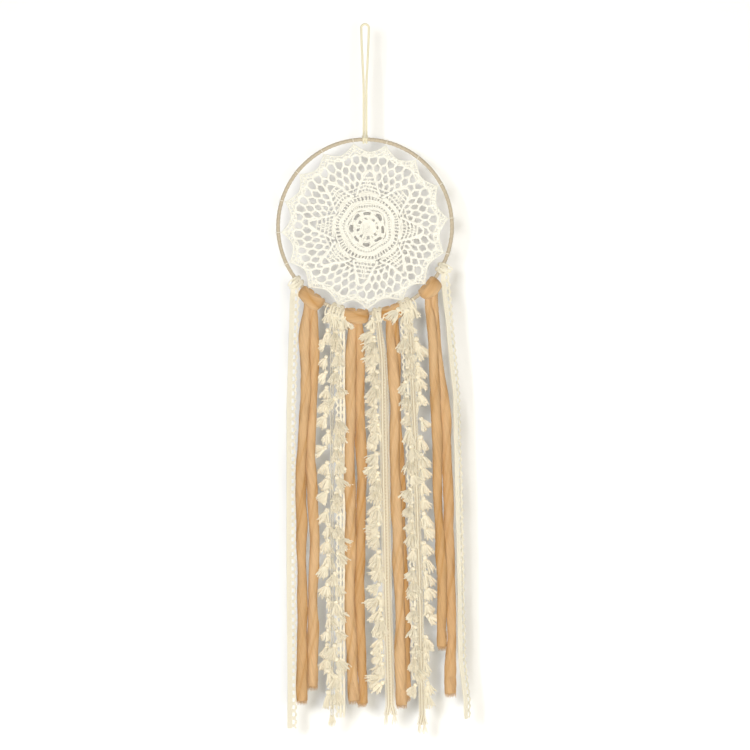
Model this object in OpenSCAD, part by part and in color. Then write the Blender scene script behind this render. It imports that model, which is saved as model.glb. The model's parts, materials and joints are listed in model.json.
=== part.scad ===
// Crochet dream catcher: a wrapped wire hoop with a doily tied into it, a cord loop to hang it by,
// and nine hanging strands of wool, lace and tasselled trim that swing below their knots.
// Millimetres. +Z is up, +X is to the right as seen from the front, and the front faces -Y.
// The origin is the hang point, on the inside of the top of the cord loop.

/* [Hoop] */
// Outside diameter of the wrapped hoop
hoop_od = 200; // [195:1:300]
// Diameter of the steel wire inside the hoop
wire_d = 3.4; // [2.5:0.1:5]
// Thickness of the tape wound round the wire
wrap_t = 0.5; // [0.3:0.05:1]

/* [Hanger] */
// From the hang point down to the top of the hoop
hanger_drop = 126; // [90:1:200]
// Diameter of the satin cord
hanger_d = 2.5; // [2:0.1:3.5]
// Clear width of the loop at the hang point
loop_gap = 6; // [5:0.5:12]

/* [Doily] */
// Thickness of the crochet
doily_t = 2; // [1.2:0.1:3]
// From the scallop tips to the inside of the hoop
tip_gap = 2; // [1.2:0.1:4]
// Depth of the scallops round the edge
scallop_depth = 9.5; // [5:0.5:14]
// Diameter of the thread that ties the tips to the hoop
lash_d = 0.9; // [0.6:0.1:1.2]

/* [Strands] */
// From the bottom of the hoop down to the lowest strand end
strand_drop = 470; // [300:5:600]
// Length of the forked ends of the flat braids
fork_len = 22; // [15:1:30]
// Thickness of one leg of wool
wool_d = 10.4; // [8:0.1:11.5]
// Width of the lace ribbon
lace_w = 10.2; // [8:0.1:12]
// Thickness of the lace ribbon
lace_t = 1; // [0.6:0.1:1.4]
// Distance between the scallops of the lace
lace_pitch = 8.2; // [7:0.1:12]
// Width of the slots along the lace
lace_slot_w = 1.7; // [1:0.1:2.4]
// Height of the slots along the lace
lace_slot_h = 4.6; // [3:0.1:6]
// Width of the braid that carries the tassels
braid_w = 6; // [5:0.1:7]
// Thickness of that braid
braid_t = 1.2; // [0.8:0.1:1.5]
// Height of one tassel
tassel_h = 19; // [14:0.5:20]
// Width of a tassel's skirt
tassel_d = 9.6; // [7:0.1:10]
// Distance between the tassels along their braid
tassel_pitch = 19.5; // [18:0.5:26]

/* [Knots] */
// Thickness of the wool where it wraps the hoop
wool_wrap_d = 5.2; // [4:0.1:5.6]
// Thickness of a single trim where it wraps the hoop
trim_wrap_d = 3.8; // [3:0.1:4.4]
// Thickness of a fringe and its lace where they wrap the hoop together
double_wrap_d = 4.4; // [3.6:0.1:5]

/* [Hidden] */
$fn = 48;
// Between pieces that move past each other
clear = 0.3;
// Between pieces that lie against each other
seat = 0.1;
// Between neighbouring strands
strand_gap = 0.6;
// Length of knot that shows below its lowest wrap
tail_len = 2;

// Colours of the materials
gold = [0.93, 0.82, 0.50];
steel = [0.60, 0.60, 0.62];
taupe = [0.72, 0.64, 0.54];
cream = [0.97, 0.94, 0.85];
thread = [0.93, 0.89, 0.78];
peach = [0.85, 0.66, 0.46];

// Hoop
tube_r = wire_d / 2 + seat / 2 + wrap_t;
hoop_r = hoop_od / 2 - tube_r;
hoop_z = -hanger_drop - hoop_od / 2;
bottom_z = hoop_z - hoop_od / 2 - strand_drop;

// Tassels lean away from their braid, and forward or back
tassel_head_r = 0.23 * tassel_d;
function tassel_offset(lean) = tassel_head_r * (1 - sin(lean)) + 2.5 * seat;
function tassel_reach(lean) = tassel_offset(lean) + tassel_h * sin(lean) + tassel_d / 2 * cos(lean);
narrow_lean = 14;
wide_lean = 30;

// Widths that the nine strands need side by side, from left to right
lace_slot = lace_w + 8 * seat;
pair_slot = 2 * wool_d + 4 * seat + 2 * clear;
// A strand is at least as wide as the two wraps of its knot
wool_knot_w = 2 * knot_spread(wool_wrap_d, 6) + wool_wrap_d;
// Two legs of wool that stand part behind each other, and two that stand almost in line
stagger_x = 0.36 * wool_d;
stagger_y = 0.40 * wool_d;
stagger_slot = max(2 * stagger_x + wool_d, wool_knot_w) + 2 * clear;
behind_x = 0.2 * wool_d;
behind_y = 0.5 * wool_d;
behind_slot = max(2 * behind_x + wool_d, wool_knot_w) + 2 * clear;
// On the first fringe the braid is seen edge on, with lace behind the tassels on its right
braid_split = braid_t;
lace_offset = 2.6;
fringe_1_slot = tassel_reach(narrow_lean) + 2 * braid_t + braid_split + lace_offset + lace_w + 2 * clear;
fringe_2_slot = tassel_reach(wide_lean) + braid_w + 2 * clear;
// On the third fringe the lace stands part behind the braid, with tassels in front of it
lace_showing = 0.78 * lace_w;
fringe_3_slot = lace_showing + braid_w + tassel_reach(narrow_lean) + 2 * clear;
slots = [
    lace_slot, pair_slot, fringe_1_slot, pair_slot, fringe_2_slot,
    behind_slot, fringe_3_slot, stagger_slot, lace_slot
];
function sum_to(list, n) = n == 0 ? 0 : list[n - 1] + sum_to(list, n - 1);
// The strands hang a little to the right of the middle
strand_shift = 5.5;
strands_w = sum_to(slots, len(slots)) + strand_gap * (len(slots) - 1);
function slot_left(i) = strand_shift - strands_w / 2 + sum_to(slots, i) + strand_gap * i;
function slot_x(i) = slot_left(i) + slots[i] / 2;

// How far each strand drifts sideways at a drop below its knot, as [drop, drift] points
drifts = [
    [[0, 0], [130, -4], [300, -4], [440, -3]],
    [[0, 0], [130, -3], [300, -3], [420, -2]],
    [[0, 0], [440, 0]],
    [[0, 0], [300, 0], [420, 2]],
    [[0, -4], [40, 0], [130, 1], [300, 4], [450, 8]],
    [[0, 0], [130, 5], [300, 10], [420, 13]],
    [[0, 0], [130, 6], [300, 11], [450, 14]],
    [[0, 0], [130, 11], [300, 15], [420, 18]],
    [[0, 0], [130, 13], [300, 17], [470, 21]]
];
function drift(i, drop) = lookup(drop, drifts[i]);

// Where the pieces of a strand stand across its width, measured from the strand's middle
fringe_1_left = -fringe_1_slot / 2 + clear + tassel_reach(narrow_lean);
fringe_1_x = fringe_1_left + braid_t + braid_split / 2;
inner_left_x = fringe_1_slot / 2 - clear - lace_w / 2;
fringe_2_x = fringe_2_slot / 2 - clear - braid_w / 2;
inner_right_x = -fringe_3_slot / 2 + clear + lace_w / 2;
fringe_3_x = -fringe_3_slot / 2 + clear + lace_showing + braid_w / 2;
inner_right_roll_w = lace_showing - 4 * seat;
inner_right_roll_x = -fringe_3_slot / 2 + clear + inner_right_roll_w / 2;

// Half height of the rounded top that a strand turns about
neck_d = wool_d / 2;
arch_r = neck_d / 2 + clear;
wool_top = arch_r + neck_d / 2;
lace_leg_y = lace_t / 2 + 8 * seat;
lace_top = lace_leg_y + lace_t / 2 + seat;
edge_top = braid_w / 2 + 2 * seat;
flat_leg_y = braid_t / 2 + 9 * seat;
flat_top = flat_leg_y + braid_t / 2;
// An inner lace hangs behind its fringe
inner_leg_y = flat_top + 5 * seat + lace_t / 2;
inner_step = lace_t + 2 * seat;
inner_top = inner_leg_y + inner_step + lace_t / 2;

// Knots, as [strand, x from the strand's middle, thickness of the wraps, half distance between the wraps,
// for each of two tails its x from the knot and the half height of the top below it,
// and the thickness and length of the band across the front]
function knot_spread(cord_d, room) = cord_d / 2 + lash_d / 2 + room * clear;
function even_tails(cord_d, spread, top) =
    let (x = spread - 0.35 * cord_d)
    [[-x, top], [x, top]];
function trim_knot(i, x, top) =
    let (spread = knot_spread(trim_wrap_d, 2))
    [
        i, x, trim_wrap_d, spread, even_tails(trim_wrap_d, spread, top),
        1.5 * trim_wrap_d, 2 * spread + trim_wrap_d
    ];
function wool_knot(i, band_len) =
    let (spread = knot_spread(wool_wrap_d, 6))
    [i, 0, wool_wrap_d, spread, even_tails(wool_wrap_d, spread, wool_top), 0.85 * wool_d, band_len];
function double_knot(i, left_x, left_top, right_x, right_top) =
    let (half = (right_x - left_x) / 2, spread = knot_spread(double_wrap_d, 6))
    [
        i, (left_x + right_x) / 2, double_wrap_d, spread, [[-half, left_top], [half, right_top]],
        1.5 * double_wrap_d, 2 * spread + double_wrap_d
    ];
knot_lace_left = trim_knot(0, 0, lace_top);
knot_wool_1 = wool_knot(1, 1.85 * wool_d);
knot_fringe_1 = double_knot(2, fringe_1_x, edge_top, inner_left_x, inner_top);
knot_wool_2 = wool_knot(3, 1.85 * wool_d);
knot_fringe_2 = trim_knot(4, fringe_2_x + drift(4, 0), flat_top);
knot_wool_3 = wool_knot(5, 1.5 * wool_d);
knot_fringe_3 = double_knot(6, inner_right_roll_x, inner_top, fringe_3_x, flat_top);
knot_wool_4 = wool_knot(7, 1.5 * wool_d);
knot_lace_right = trim_knot(8, 0, lace_top);
knots = [
    knot_lace_left, knot_wool_1, knot_fringe_1, knot_wool_2, knot_fringe_2,
    knot_wool_3, knot_fringe_3, knot_wool_4, knot_lace_right
];
// Radius from the middle of the hoop's tube to the middle of a wrap
function wrap_r(cord_d) = tube_r + 2 * clear + cord_d / 2;
// Angle of a knot round the hoop from its bottom, with the knot's legs over the strand
function knot_angle(k) = asin((slot_x(k[0]) + k[1]) / (hoop_r + wrap_r(k[2])));
function knot_low(k) =
    let (a = knot_angle(k))
    hoop_z - (hoop_r + wrap_r(k[2])) * cos(a) - k[3] * abs(sin(a)) - k[2] / 2 - tail_len;
function hinge_z(i) = knot_low(knots[i]) - max([for (tail = knots[i][4]) tail[1]]) - clear;
function leg_len(i, trim) = hinge_z(i) - bottom_z - trim;

// How much shorter each strand ends than the longest one
lace_left_trim = 6;
wool_1_trims = [38, 53];
fringe_1_trim = 8;
inner_left_trim = 17;
wool_2_trims = [38, 34];
fringe_2_trim = 10;
wool_3_trims = [34, 40];
fringe_3_trim = 0;
inner_right_trim = 60;
wool_4_trims = [99, 45];
lace_right_trim = 17;

// Moves to the middle of the hoop's tube, with X along the hoop and -Z away from its centre
module on_hoop(angle) {
    translate([hoop_r * sin(angle), 0, hoop_z - hoop_r * cos(angle)])
        rotate([0, -angle, 0]) children();
}

// Moves to the axis that a strand swings about
module at_strand(i) {
    translate([slot_x(i), 0, hinge_z(i)]) children();
}

// Draws a flat outline upright, centred on the given depth
module upright(t, y) {
    translate([0, y + t / 2, 0]) rotate([90, 0, 0]) linear_extrude(t) children();
}

function unit(v) = v / norm(v);

// A closed tube through a list of points, with a radius at each point
module tube(path, radii, sides) {
    last = len(path) - 1;
    points = [
        for (i = [0 : last])
            let (
                along = unit(path[min(i + 1, last)] - path[max(i - 1, 0)]),
                across = unit(cross([0, 1, 0], along)),
                out = cross(along, across)
            )
            for (j = [0 : sides - 1])
                path[i] + radii[i] * (cos(360 * j / sides) * across + sin(360 * j / sides) * out)
    ];
    walls = [
        for (i = [0 : last - 1])
            for (j = [0 : sides - 1])
                let (a = i * sides + j, b = i * sides + (j + 1) % sides)
                each [[a, b, b + sides], [a, b + sides, a + sides]]
    ];
    first_cap = [for (j = [1 : sides - 2]) [0, j + 1, j]];
    last_cap = [for (j = [1 : sides - 2]) [last * sides, last * sides + j, last * sides + j + 1]];
    polyhedron(points = points, faces = [for (f = concat(walls, first_cap, last_cap)) [f[2], f[1], f[0]]]);
}

// Hanger

hanger_legs_x = hanger_d / 2 + 2 * seat;
hanger_arch_r = loop_gap / 2 + hanger_d / 2;
hanger_wrap_r = tube_r + clear + hanger_d / 2;
hanger_spread = hanger_d / 2 + 2 * seat;
hanger_end_z = -hanger_drop + tube_r + 2 * hanger_d;
// The sides of the loop run together this far below the hang point
loop_close = 79;

module hanger_cord() {
    arch_z = hanger_d / 2 - hanger_arch_r;
    left = [
        [-hanger_legs_x, 0, hanger_end_z + clear],
        [-hanger_legs_x, 0, -loop_close],
        [-(hanger_legs_x + hanger_arch_r) / 2, 0, -loop_close / 2]
    ];
    arch = [for (a = [180 : -30 : 0]) [hanger_arch_r * cos(a), 0, arch_z + hanger_arch_r * sin(a)]];
    right = [for (i = [2 : -1 : 0]) [-left[i][0], 0, left[i][2]]];
    path = concat(left, arch, right);
    color(gold) tube(path, [for (p = path) hanger_d / 2], 8);
}

module hanger_knot() {
    color(gold) {
        translate([0, 0, hoop_z + hoop_r]) {
            for (side = [-1, 1])
                translate([side * hanger_spread, 0, 0])
                    rotate([0, 90, 0]) rotate_extrude() translate([hanger_wrap_r, 0]) circle(d = hanger_d);
            translate([0, -hanger_wrap_r - 0.6 * hanger_d, 0])
                rotate([0, 90, 0]) cylinder(d = 0.9 * hanger_d, h = 2 * hanger_spread + 0.6 * hanger_d, center = true);
            for (side = [-1, 1])
                translate([side * hanger_spread, 0, hanger_wrap_r])
                    cylinder(d = 0.8 * hanger_d, h = hanger_end_z - hoop_z - hoop_r - hanger_wrap_r);
        }
    }
}

// Hoop

module hoop_ring() {
    color(steel)
        translate([0, 0, hoop_z]) rotate([90, 0, 0])
            rotate_extrude() translate([hoop_r, 0]) circle(d = wire_d);
}

module hoop_wrap() {
    color(taupe)
        translate([0, 0, hoop_z]) rotate([90, 0, 0])
            rotate_extrude() translate([hoop_r, 0]) difference() {
                circle(r = tube_r);
                circle(r = tube_r - wrap_t);
            }
}

// Doily

tips = 16;
petals = 8;
sector = 360 / petals;
tip_r = hoop_r - tube_r - tip_gap;
valley_r = tip_r - scallop_depth;
eyelet_r = lash_d / 2 + clear;
eyelet_at = tip_r - 2 * eyelet_r;
// The crochet is worked to a size where its tips are this far out, and is stretched to fit
worked_r = 93.5;
// It hangs a little to the right of the hoop's middle and low, and is tied in with a turn and a skew
doily_shift = [3, -2];
doily_turn = -2;
edge_turn = -4.5;
edge_skew = 3.2;
function stretch(r) = r * tip_r / worked_r;
function turned(r, a) = a + doily_turn + pow(r / tip_r, 2) * (edge_turn + edge_skew * sin(a));
// A point of the crochet from its radius and its angle as worked
function stitch(r, a) =
    let (b = turned(r, a))
    r * [cos(b), sin(b)] + (1 - pow(r / tip_r, 2)) * doily_shift;
function worked(r, a) = stitch(stretch(r), a);

// A tip that meets a knot is tied between that knot's two wraps
function knot_reach(k) = (k[3] + k[2] / 2 + eyelet_r) / hoop_r * 180 / PI;
function tip_angle(n) =
    let (
        a = turned(tip_r, (n + 0.5) * 360 / tips - 180),
        met = [for (k = knots) if (abs(a + 90 - knot_angle(k)) < knot_reach(k)) knot_angle(k) - 90]
    )
    len(met) > 0 ? met[0] : a;
edge_steps = 10;
edge_power = 1.8;
function edge_point(n, step) =
    let (
        from = tip_angle(n),
        to = n + 1 < tips ? tip_angle(n + 1) : tip_angle(0) + 360,
        u = step / edge_steps,
        r = valley_r + scallop_depth * pow(abs(2 * u - 1), edge_power),
        a = from + (to - from) * u
    )
    r * [cos(a), sin(a)];

// A four-sided gap between stitches
module gap(r, a, half_r, half_a) {
    polygon([worked(r - half_r, a), worked(r, a + half_a), worked(r + half_r, a), worked(r, a - half_a)]);
}

// A six-sided gap between chain loops, with its points towards the rounds before and after
module cell(r, a, inward, outward, half_a) {
    polygon([
        worked(r - inward, a), worked(r - 0.4 * inward, a + half_a), worked(r + 0.4 * outward, a + half_a),
        worked(r + outward, a), worked(r + 0.4 * outward, a - half_a), worked(r - 0.4 * inward, a - half_a)
    ]);
}

// A gap that follows the round, with blunt ends
module crescent(r, a, half_r, half_a) {
    steps = 4;
    polygon(concat(
        [for (i = [0 : steps]) worked(r + half_r, a + half_a * 0.8 * (1 - 2 * i / steps))],
        [worked(r, a - half_a)],
        [for (i = [0 : steps]) worked(r - half_r, a - half_a * 0.8 * (1 - 2 * i / steps))],
        [worked(r, a + half_a)]
    ));
}

// A slit between two tall stitches
module slit(r, a, half_r, half_w) {
    half_a = half_w / r * 180 / PI;
    polygon([for (c = [[-1, -1], [-1, 1], [1, 1], [1, -1]]) worked(r + c[0] * half_r, a + c[1] * half_a)]);
}

// A row of gaps spread over part of a sector
module row(r, a, count, spread, half_r, fill) {
    for (i = [0 : count - 1])
        gap(r, a + spread * (i - (count - 1) / 2), half_r, spread * fill / 2);
}

// Radius of each round of chain loops, their step and half heights, and the width of a chain
net_rounds = [49.5, 58.3, 67, 75.4];
net_step = sector / 5;
net_half = 5.3;
net_edge_half = 4.6;
net_bar = 1.7;

module doily_gaps() {
    for (p = [0 : petals - 1]) {
        a = p * sector;
        translate(worked(10.8, a + 12)) circle(r = 1.4);
        crescent(18.3, a, 1.5, 14);
        for (i = [-2 : 2])
            slit(32.6, a + i * sector / 5, 2.7, 0.9);
        gap(39.6, a + sector / 2, 2.8, 4.2);
        // The leaf, narrowing row by row to its apex
        row(41.6, a, 4, 8, 1.4, 0.6);
        row(45.6, a, 3, 8, 1.5, 0.65);
        row(49.8, a, 3, 6.2, 1.6, 0.65);
        row(54.2, a, 2, 5.6, 1.8, 0.65);
        gap(59.6, a, 2.8, 2.8);
        // The net of chain loops between the leaves, with one more loop on each round
        for (k = [0 : len(net_rounds) - 1])
            for (j = [0 : k + 1])
                cell(
                    net_rounds[k], a + sector / 2 + net_step * (j - (k + 1) / 2), net_half,
                    k + 1 < len(net_rounds) ? net_half : net_edge_half,
                    net_step / 2 - net_bar / 2 / net_rounds[k] * 180 / PI
                );
    }
}

// Room for the wraps of a knot at the edge of the crochet
module wrap_notches(k) {
    reach = wrap_r(k[2]) + k[2] / 2 + clear;
    width = k[2] + 2 * clear;
    rotate(knot_angle(k))
        for (side = [-1, 1])
            translate([side * k[3] - width / 2, -hoop_r]) square([width, reach]);
}

module doily() {
    color(cream) translate([0, 0, hoop_z]) upright(doily_t, 0) difference() {
        polygon([for (n = [0 : tips - 1]) for (step = [0 : edge_steps - 1]) edge_point(n, step)]);
        doily_gaps();
        for (n = [0 : tips - 1])
            rotate(tip_angle(n)) translate([eyelet_at, 0]) circle(r = eyelet_r);
        for (k = knots)
            wrap_notches(k);
    }
}

module doily_lashings() {
    loop_r = tube_r + seat + lash_d / 2;
    near = eyelet_at + loop_r;
    color(cream) translate([0, 0, hoop_z])
        for (n = [0 : tips - 1])
            rotate([0, -tip_angle(n), 0]) {
                translate([hoop_r, 0, 0]) rotate(-90)
                    rotate_extrude(angle = 180) translate([loop_r, 0]) circle(d = lash_d);
                translate([near, 0, 0]) rotate(90)
                    rotate_extrude(angle = 180) translate([loop_r, 0]) circle(d = lash_d);
                for (side = [-1, 1])
                    translate([near, side * loop_r, 0])
                        rotate([0, 90, 0]) cylinder(d = lash_d, h = hoop_r - near);
            }
}

// Knots

// The band lies in front of the hoop, clear of the threads that tie the doily
function band_y(d) = tube_r + seat + lash_d + clear + d / 2;

// A barrel with eased ends, standing on the middle of its axis
module band(d, length) {
    rotate_extrude() polygon([
        [0, -length / 2], [0.3 * d, -length / 2], [0.44 * d, -0.4 * length], [d / 2, -0.2 * length],
        [d / 2, 0.2 * length], [0.44 * d, 0.4 * length], [0.3 * d, length / 2], [0, length / 2]
    ]);
}

// Two wraps round the hoop, a band across their front and a tail over each leg of the strand
module lark_knot(k) {
    r = wrap_r(k[2]);
    angle = knot_angle(k);
    tail_d = 0.6 * k[2];
    on_hoop(angle) {
        for (side = [-1, 1])
            translate([side * k[3], 0, 0])
                rotate([0, 90, 0]) rotate_extrude() translate([r, 0]) circle(d = k[2]);
        translate([0, -band_y(k[5]), 0]) rotate([0, 90, 0]) band(k[5], k[6]);
    }
    for (tail = k[4]) {
        x = (hoop_r + r) * sin(angle) + tail[0] * cos(angle);
        z = hoop_z - (hoop_r + r) * cos(angle) + tail[0] * sin(angle);
        end_z = hinge_z(k[0]) + tail[1] + clear;
        translate([x, 0, end_z]) cylinder(d = tail_d, h = z - end_z);
    }
}

module lace_left_knot() { color(cream) lark_knot(knot_lace_left); }
module wool_1_knot() { color(peach) lark_knot(knot_wool_1); }
module fringe_1_knot() { color(cream) lark_knot(knot_fringe_1); }
module wool_2_knot() { color(peach) lark_knot(knot_wool_2); }
module fringe_2_knot() { color(cream) lark_knot(knot_fringe_2); }
module wool_3_knot() { color(peach) lark_knot(knot_wool_3); }
module fringe_3_knot() { color(cream) lark_knot(knot_fringe_3); }
module wool_4_knot() { color(peach) lark_knot(knot_wool_4); }
module lace_right_knot() { color(cream) lark_knot(knot_lace_right); }

// Wool

// Drops below the knot where a leg of wool has a ring, before its end
wool_drops = [0, 22, 60, 160, 270];
wool_end_round = 10;

function wool_leg(i, side, x, y, spread, length) = [
    for (drop = concat(wool_drops, [length - wool_end_round, length]))
        let (
            full = min(drop / wool_drops[2], 1),
            wide = min(max(drop - wool_drops[2], 0) / 200, 1)
        )
        [
            side * (arch_r + (x - arch_r) * full + spread * wide) + drift(i, drop),
            side * y * full,
            -drop
        ]
];
function wool_radii(length) = [
    neck_d / 2, 0.3 * wool_d, wool_d / 2 - seat, wool_d / 2 - seat, wool_d / 2 - seat,
    0.46 * wool_d, 0.2 * wool_d
];
function backwards(list) = [for (i = [len(list) - 1 : -1 : 0]) list[i]];

// One hank of wool folded in half at its knot
module wool(i, x, y, spread, trims) {
    lengths = [for (t = trims) leg_len(i, t)];
    arch = [for (a = [135 : -45 : 45]) [arch_r * cos(a), 0, arch_r * sin(a)]];
    path = concat(
        backwards(wool_leg(i, -1, x, y, spread, lengths[0])),
        arch,
        wool_leg(i, 1, x, y, spread, lengths[1])
    );
    radii = concat(
        backwards(wool_radii(lengths[0])),
        [for (p = arch) neck_d / 2],
        wool_radii(lengths[1])
    );
    color(peach) at_strand(i) tube(path, radii, 10);
}

pair_x = wool_d / 2 + 2 * seat;
module wool_1() { wool(1, pair_x, 0, 1, wool_1_trims); }
module wool_2() { wool(3, pair_x, 0, 0, wool_2_trims); }
module wool_3() { wool(5, behind_x, behind_y, 0, wool_3_trims); }
module wool_4() { wool(7, stagger_x, stagger_y, 2, wool_4_trims); }

// Lace

scallop_h = 0.16 * lace_w;

// A slot with round ends
module lace_hole() {
    reach = (lace_slot_h - lace_slot_w) / 2;
    square([lace_slot_w, 2 * reach], center = true);
    for (side = [-1, 1])
        translate([0, side * reach]) circle(d = lace_slot_w);
}

// One leg of lace: a straight edge, and a scalloped edge on the given side with a slot to each scallop
module lace_leg(i, x, side, length) {
    body = lace_w - scallop_h;
    count = floor(length / lace_pitch);
    straight = [for (p = drifts[i]) if (p[0] < length) [x - side * lace_w / 2 + p[1], -p[0]]];
    scalloped = [
        for (n = [0 : count - 1])
            for (c = [[0, 0], [0.25, 0.8], [0.5, 1], [0.75, 0.8]])
                let (drop = (n + c[0]) * lace_pitch)
                [x + side * (body - lace_w / 2 + c[1] * scallop_h) + drift(i, drop), -drop]
    ];
    end = count * lace_pitch;
    low = [
        [x + side * (body - lace_w / 2) + drift(i, end), -end],
        [x - side * lace_w / 2 + drift(i, end), -end]
    ];
    difference() {
        polygon(concat(scalloped, low, backwards(straight)));
        for (n = [1 : count - 1])
            translate([x + side * 0.22 * lace_w + drift(i, (n + 0.5) * lace_pitch), -(n + 0.5) * lace_pitch])
                lace_hole();
    }
}

// A lace folded in half at its knot, with a leg at each of two depths
module lace(i, x, side, depths, roll_x, roll_w, roll_r, length) {
    color(cream) at_strand(i) {
        for (y = depths)
            upright(lace_t, y) lace_leg(i, x, side, length);
        translate([roll_x + drift(i, 0), 0, 0])
            rotate([0, 90, 0]) cylinder(r = roll_r, h = roll_w, center = true);
    }
}

outer_depths = [-lace_leg_y, lace_leg_y];
inner_depths = [inner_leg_y, inner_leg_y + inner_step];
roll_inset = 0.36 * lace_w;
module lace_left() {
    lace(0, 0, 1, outer_depths, 0, lace_w - roll_inset, lace_top, leg_len(0, lace_left_trim));
}
module lace_right() {
    lace(8, 0, -1, outer_depths, 0, lace_w - roll_inset, lace_top, leg_len(8, lace_right_trim));
}
module inner_lace_left() {
    lace(2, inner_left_x, 1, inner_depths, inner_left_x, lace_w - roll_inset, inner_top,
        leg_len(2, inner_left_trim));
}
module inner_lace_right() {
    lace(6, inner_right_x, -1, inner_depths, inner_right_roll_x, inner_right_roll_w - 2 * scallop_h,
        inner_top, leg_len(6, inner_right_trim));
}

// Tasselled fringe

tassel_neck_r = 0.62 * tassel_head_r;
tassel_neck_z = 0.24 * tassel_h;
tie_d = 0.7;

// One tassel hanging from the origin: a round head, a neck and a flaring skirt
module tassel() {
    rotate_extrude() polygon([
        [0, 0], [0.4 * tassel_head_r, 0], [tassel_head_r, -0.7 * tassel_head_r],
        [tassel_head_r, -1.2 * tassel_head_r], [tassel_neck_r, tie_d / 2 - tassel_neck_z],
        [tassel_neck_r, -tie_d / 2 - tassel_neck_z], [1.15 * tassel_head_r, -1.7 * tassel_neck_z],
        [tassel_d / 2, -tassel_h], [0, -tassel_h]
    ]);
}

// The thread bound round a tassel's neck
module tie() {
    translate([0, 0, -tassel_neck_z])
        rotate_extrude() translate([tassel_neck_r + seat / 2 + tie_d / 2, 0]) circle(d = tie_d);
}

first_tassel = 20;
// Places its children along a braid's edge, leaning to a side and forward or back.
// A column is [strand, x of the edge, depth, side, lean, forward tilt, first drop, length of the braid]
module along(column) {
    i = column[0];
    side = column[3];
    lean = column[4];
    for (n = [0 : floor((column[7] - fork_len - column[6] - tassel_h) / tassel_pitch)]) {
        drop = column[6] + n * tassel_pitch;
        at_strand(i)
            translate([column[1] + side * tassel_offset(lean) + drift(i, drop), column[2], -drop])
                rotate([-column[5], -side * lean, 0]) children();
    }
}

// Both legs of a braid that is seen flat, one behind the other, with their ends forked apart
fork_x = 0.8 * braid_w;
module flat_braid(i, x, length) {
    fork_drop = length - fork_len;
    drops = concat([for (p = drifts[i]) if (p[0] < fork_drop) p[0]], [fork_drop]);
    left = [for (drop = drops) [x - braid_w / 2 + drift(i, drop), -drop]];
    right = [for (p = left) p + [braid_w, 0]];
    low = [[x - braid_w / 2 + drift(i, length), -length], [x + braid_w / 2 + drift(i, length), -length]];
    color(cream) at_strand(i) {
        for (side = [-1, 1])
            upright(braid_t, side * flat_leg_y)
                polygon(concat(left, [for (p = low) p + [side * fork_x, 0]], backwards(right)));
        translate([x + drift(i, 0), 0, 0])
            rotate([0, 90, 0]) cylinder(r = flat_top, h = 0.9 * braid_w, center = true);
    }
}

// Both legs of a braid that is seen edge on, side by side
module edge_braid(i, x, length) {
    step = (braid_t + braid_split) / 2;
    color(cream) at_strand(i) {
        for (side = [-1, 1])
            translate([x + side * step - braid_t / 2, -braid_w / 2, -length]) cube([braid_t, braid_w, length]);
        translate([x, 0, 0])
            rotate([0, 90, 0]) cylinder(r = edge_top, h = 2 * step + 0.8 * braid_t, center = true);
    }
}

fringe_1_len = leg_len(2, fringe_1_trim);
fringe_2_len = leg_len(4, fringe_2_trim);
fringe_3_len = leg_len(6, fringe_3_trim);
fringe_1_right = fringe_1_left + 2 * braid_t + braid_split;
fringe_2_edge = fringe_2_x - braid_w / 2;
fringe_3_edge = fringe_3_x + braid_w / 2;
half_pitch = tassel_pitch / 2;
// Tilt that keeps two columns of tassels clear of each other, or of the lace behind them
part_tilt = 18;
lace_tilt = 24;

fringe_1_left_column =
    [2, fringe_1_left, 0.3 * braid_w, -1, narrow_lean, -part_tilt, first_tassel, fringe_1_len];
fringe_1_right_column =
    [2, fringe_1_right, -0.3 * braid_w, 1, narrow_lean, lace_tilt, first_tassel, fringe_1_len];
fringe_2_front_column =
    [4, fringe_2_edge, -1.4 * flat_leg_y, -1, wide_lean, part_tilt, first_tassel, fringe_2_len];
fringe_2_back_column =
    [4, fringe_2_edge, 1.4 * flat_leg_y, -1, wide_lean, -part_tilt, first_tassel + half_pitch, fringe_2_len];
// The front tassels of the third fringe hang straight down before the lace on the braid's left,
// with the shoulder of each head against the braid's corner
fringe_3_front_out = 0.9 * tassel_head_r;
fringe_3_front_x = fringe_3_x - braid_w / 2 - fringe_3_front_out + tassel_offset(0);
fringe_3_front_y = 0.7 * tassel_head_r * sin(lace_tilt) - flat_top
    - sqrt(pow(tassel_head_r + 4 * seat, 2) - pow(fringe_3_front_out, 2));
fringe_3_front_column =
    [6, fringe_3_front_x, fringe_3_front_y, -1, 0, lace_tilt, first_tassel, fringe_3_len];
fringe_3_back_column =
    [6, fringe_3_edge, 1.4 * flat_leg_y, 1, narrow_lean, -part_tilt, first_tassel + half_pitch, fringe_3_len];

module fringe_1_braid() { edge_braid(2, fringe_1_x, fringe_1_len); }
module fringe_1_tassels_left() { color(cream) along(fringe_1_left_column) tassel(); }
module fringe_1_ties_left() { color(thread) along(fringe_1_left_column) tie(); }
module fringe_1_tassels_right() { color(cream) along(fringe_1_right_column) tassel(); }
module fringe_1_ties_right() { color(thread) along(fringe_1_right_column) tie(); }
module fringe_2_braid() { flat_braid(4, fringe_2_x, fringe_2_len); }
module fringe_2_tassels_front() { color(cream) along(fringe_2_front_column) tassel(); }
module fringe_2_ties_front() { color(thread) along(fringe_2_front_column) tie(); }
module fringe_2_tassels_back() { color(cream) along(fringe_2_back_column) tassel(); }
module fringe_2_ties_back() { color(thread) along(fringe_2_back_column) tie(); }
module fringe_3_braid() { flat_braid(6, fringe_3_x, fringe_3_len); }
module fringe_3_tassels_front() { color(cream) along(fringe_3_front_column) tassel(); }
module fringe_3_ties_front() { color(thread) along(fringe_3_front_column) tie(); }
module fringe_3_tassels_back() { color(cream) along(fringe_3_back_column) tassel(); }
module fringe_3_ties_back() { color(thread) along(fringe_3_back_column) tie(); }

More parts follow.
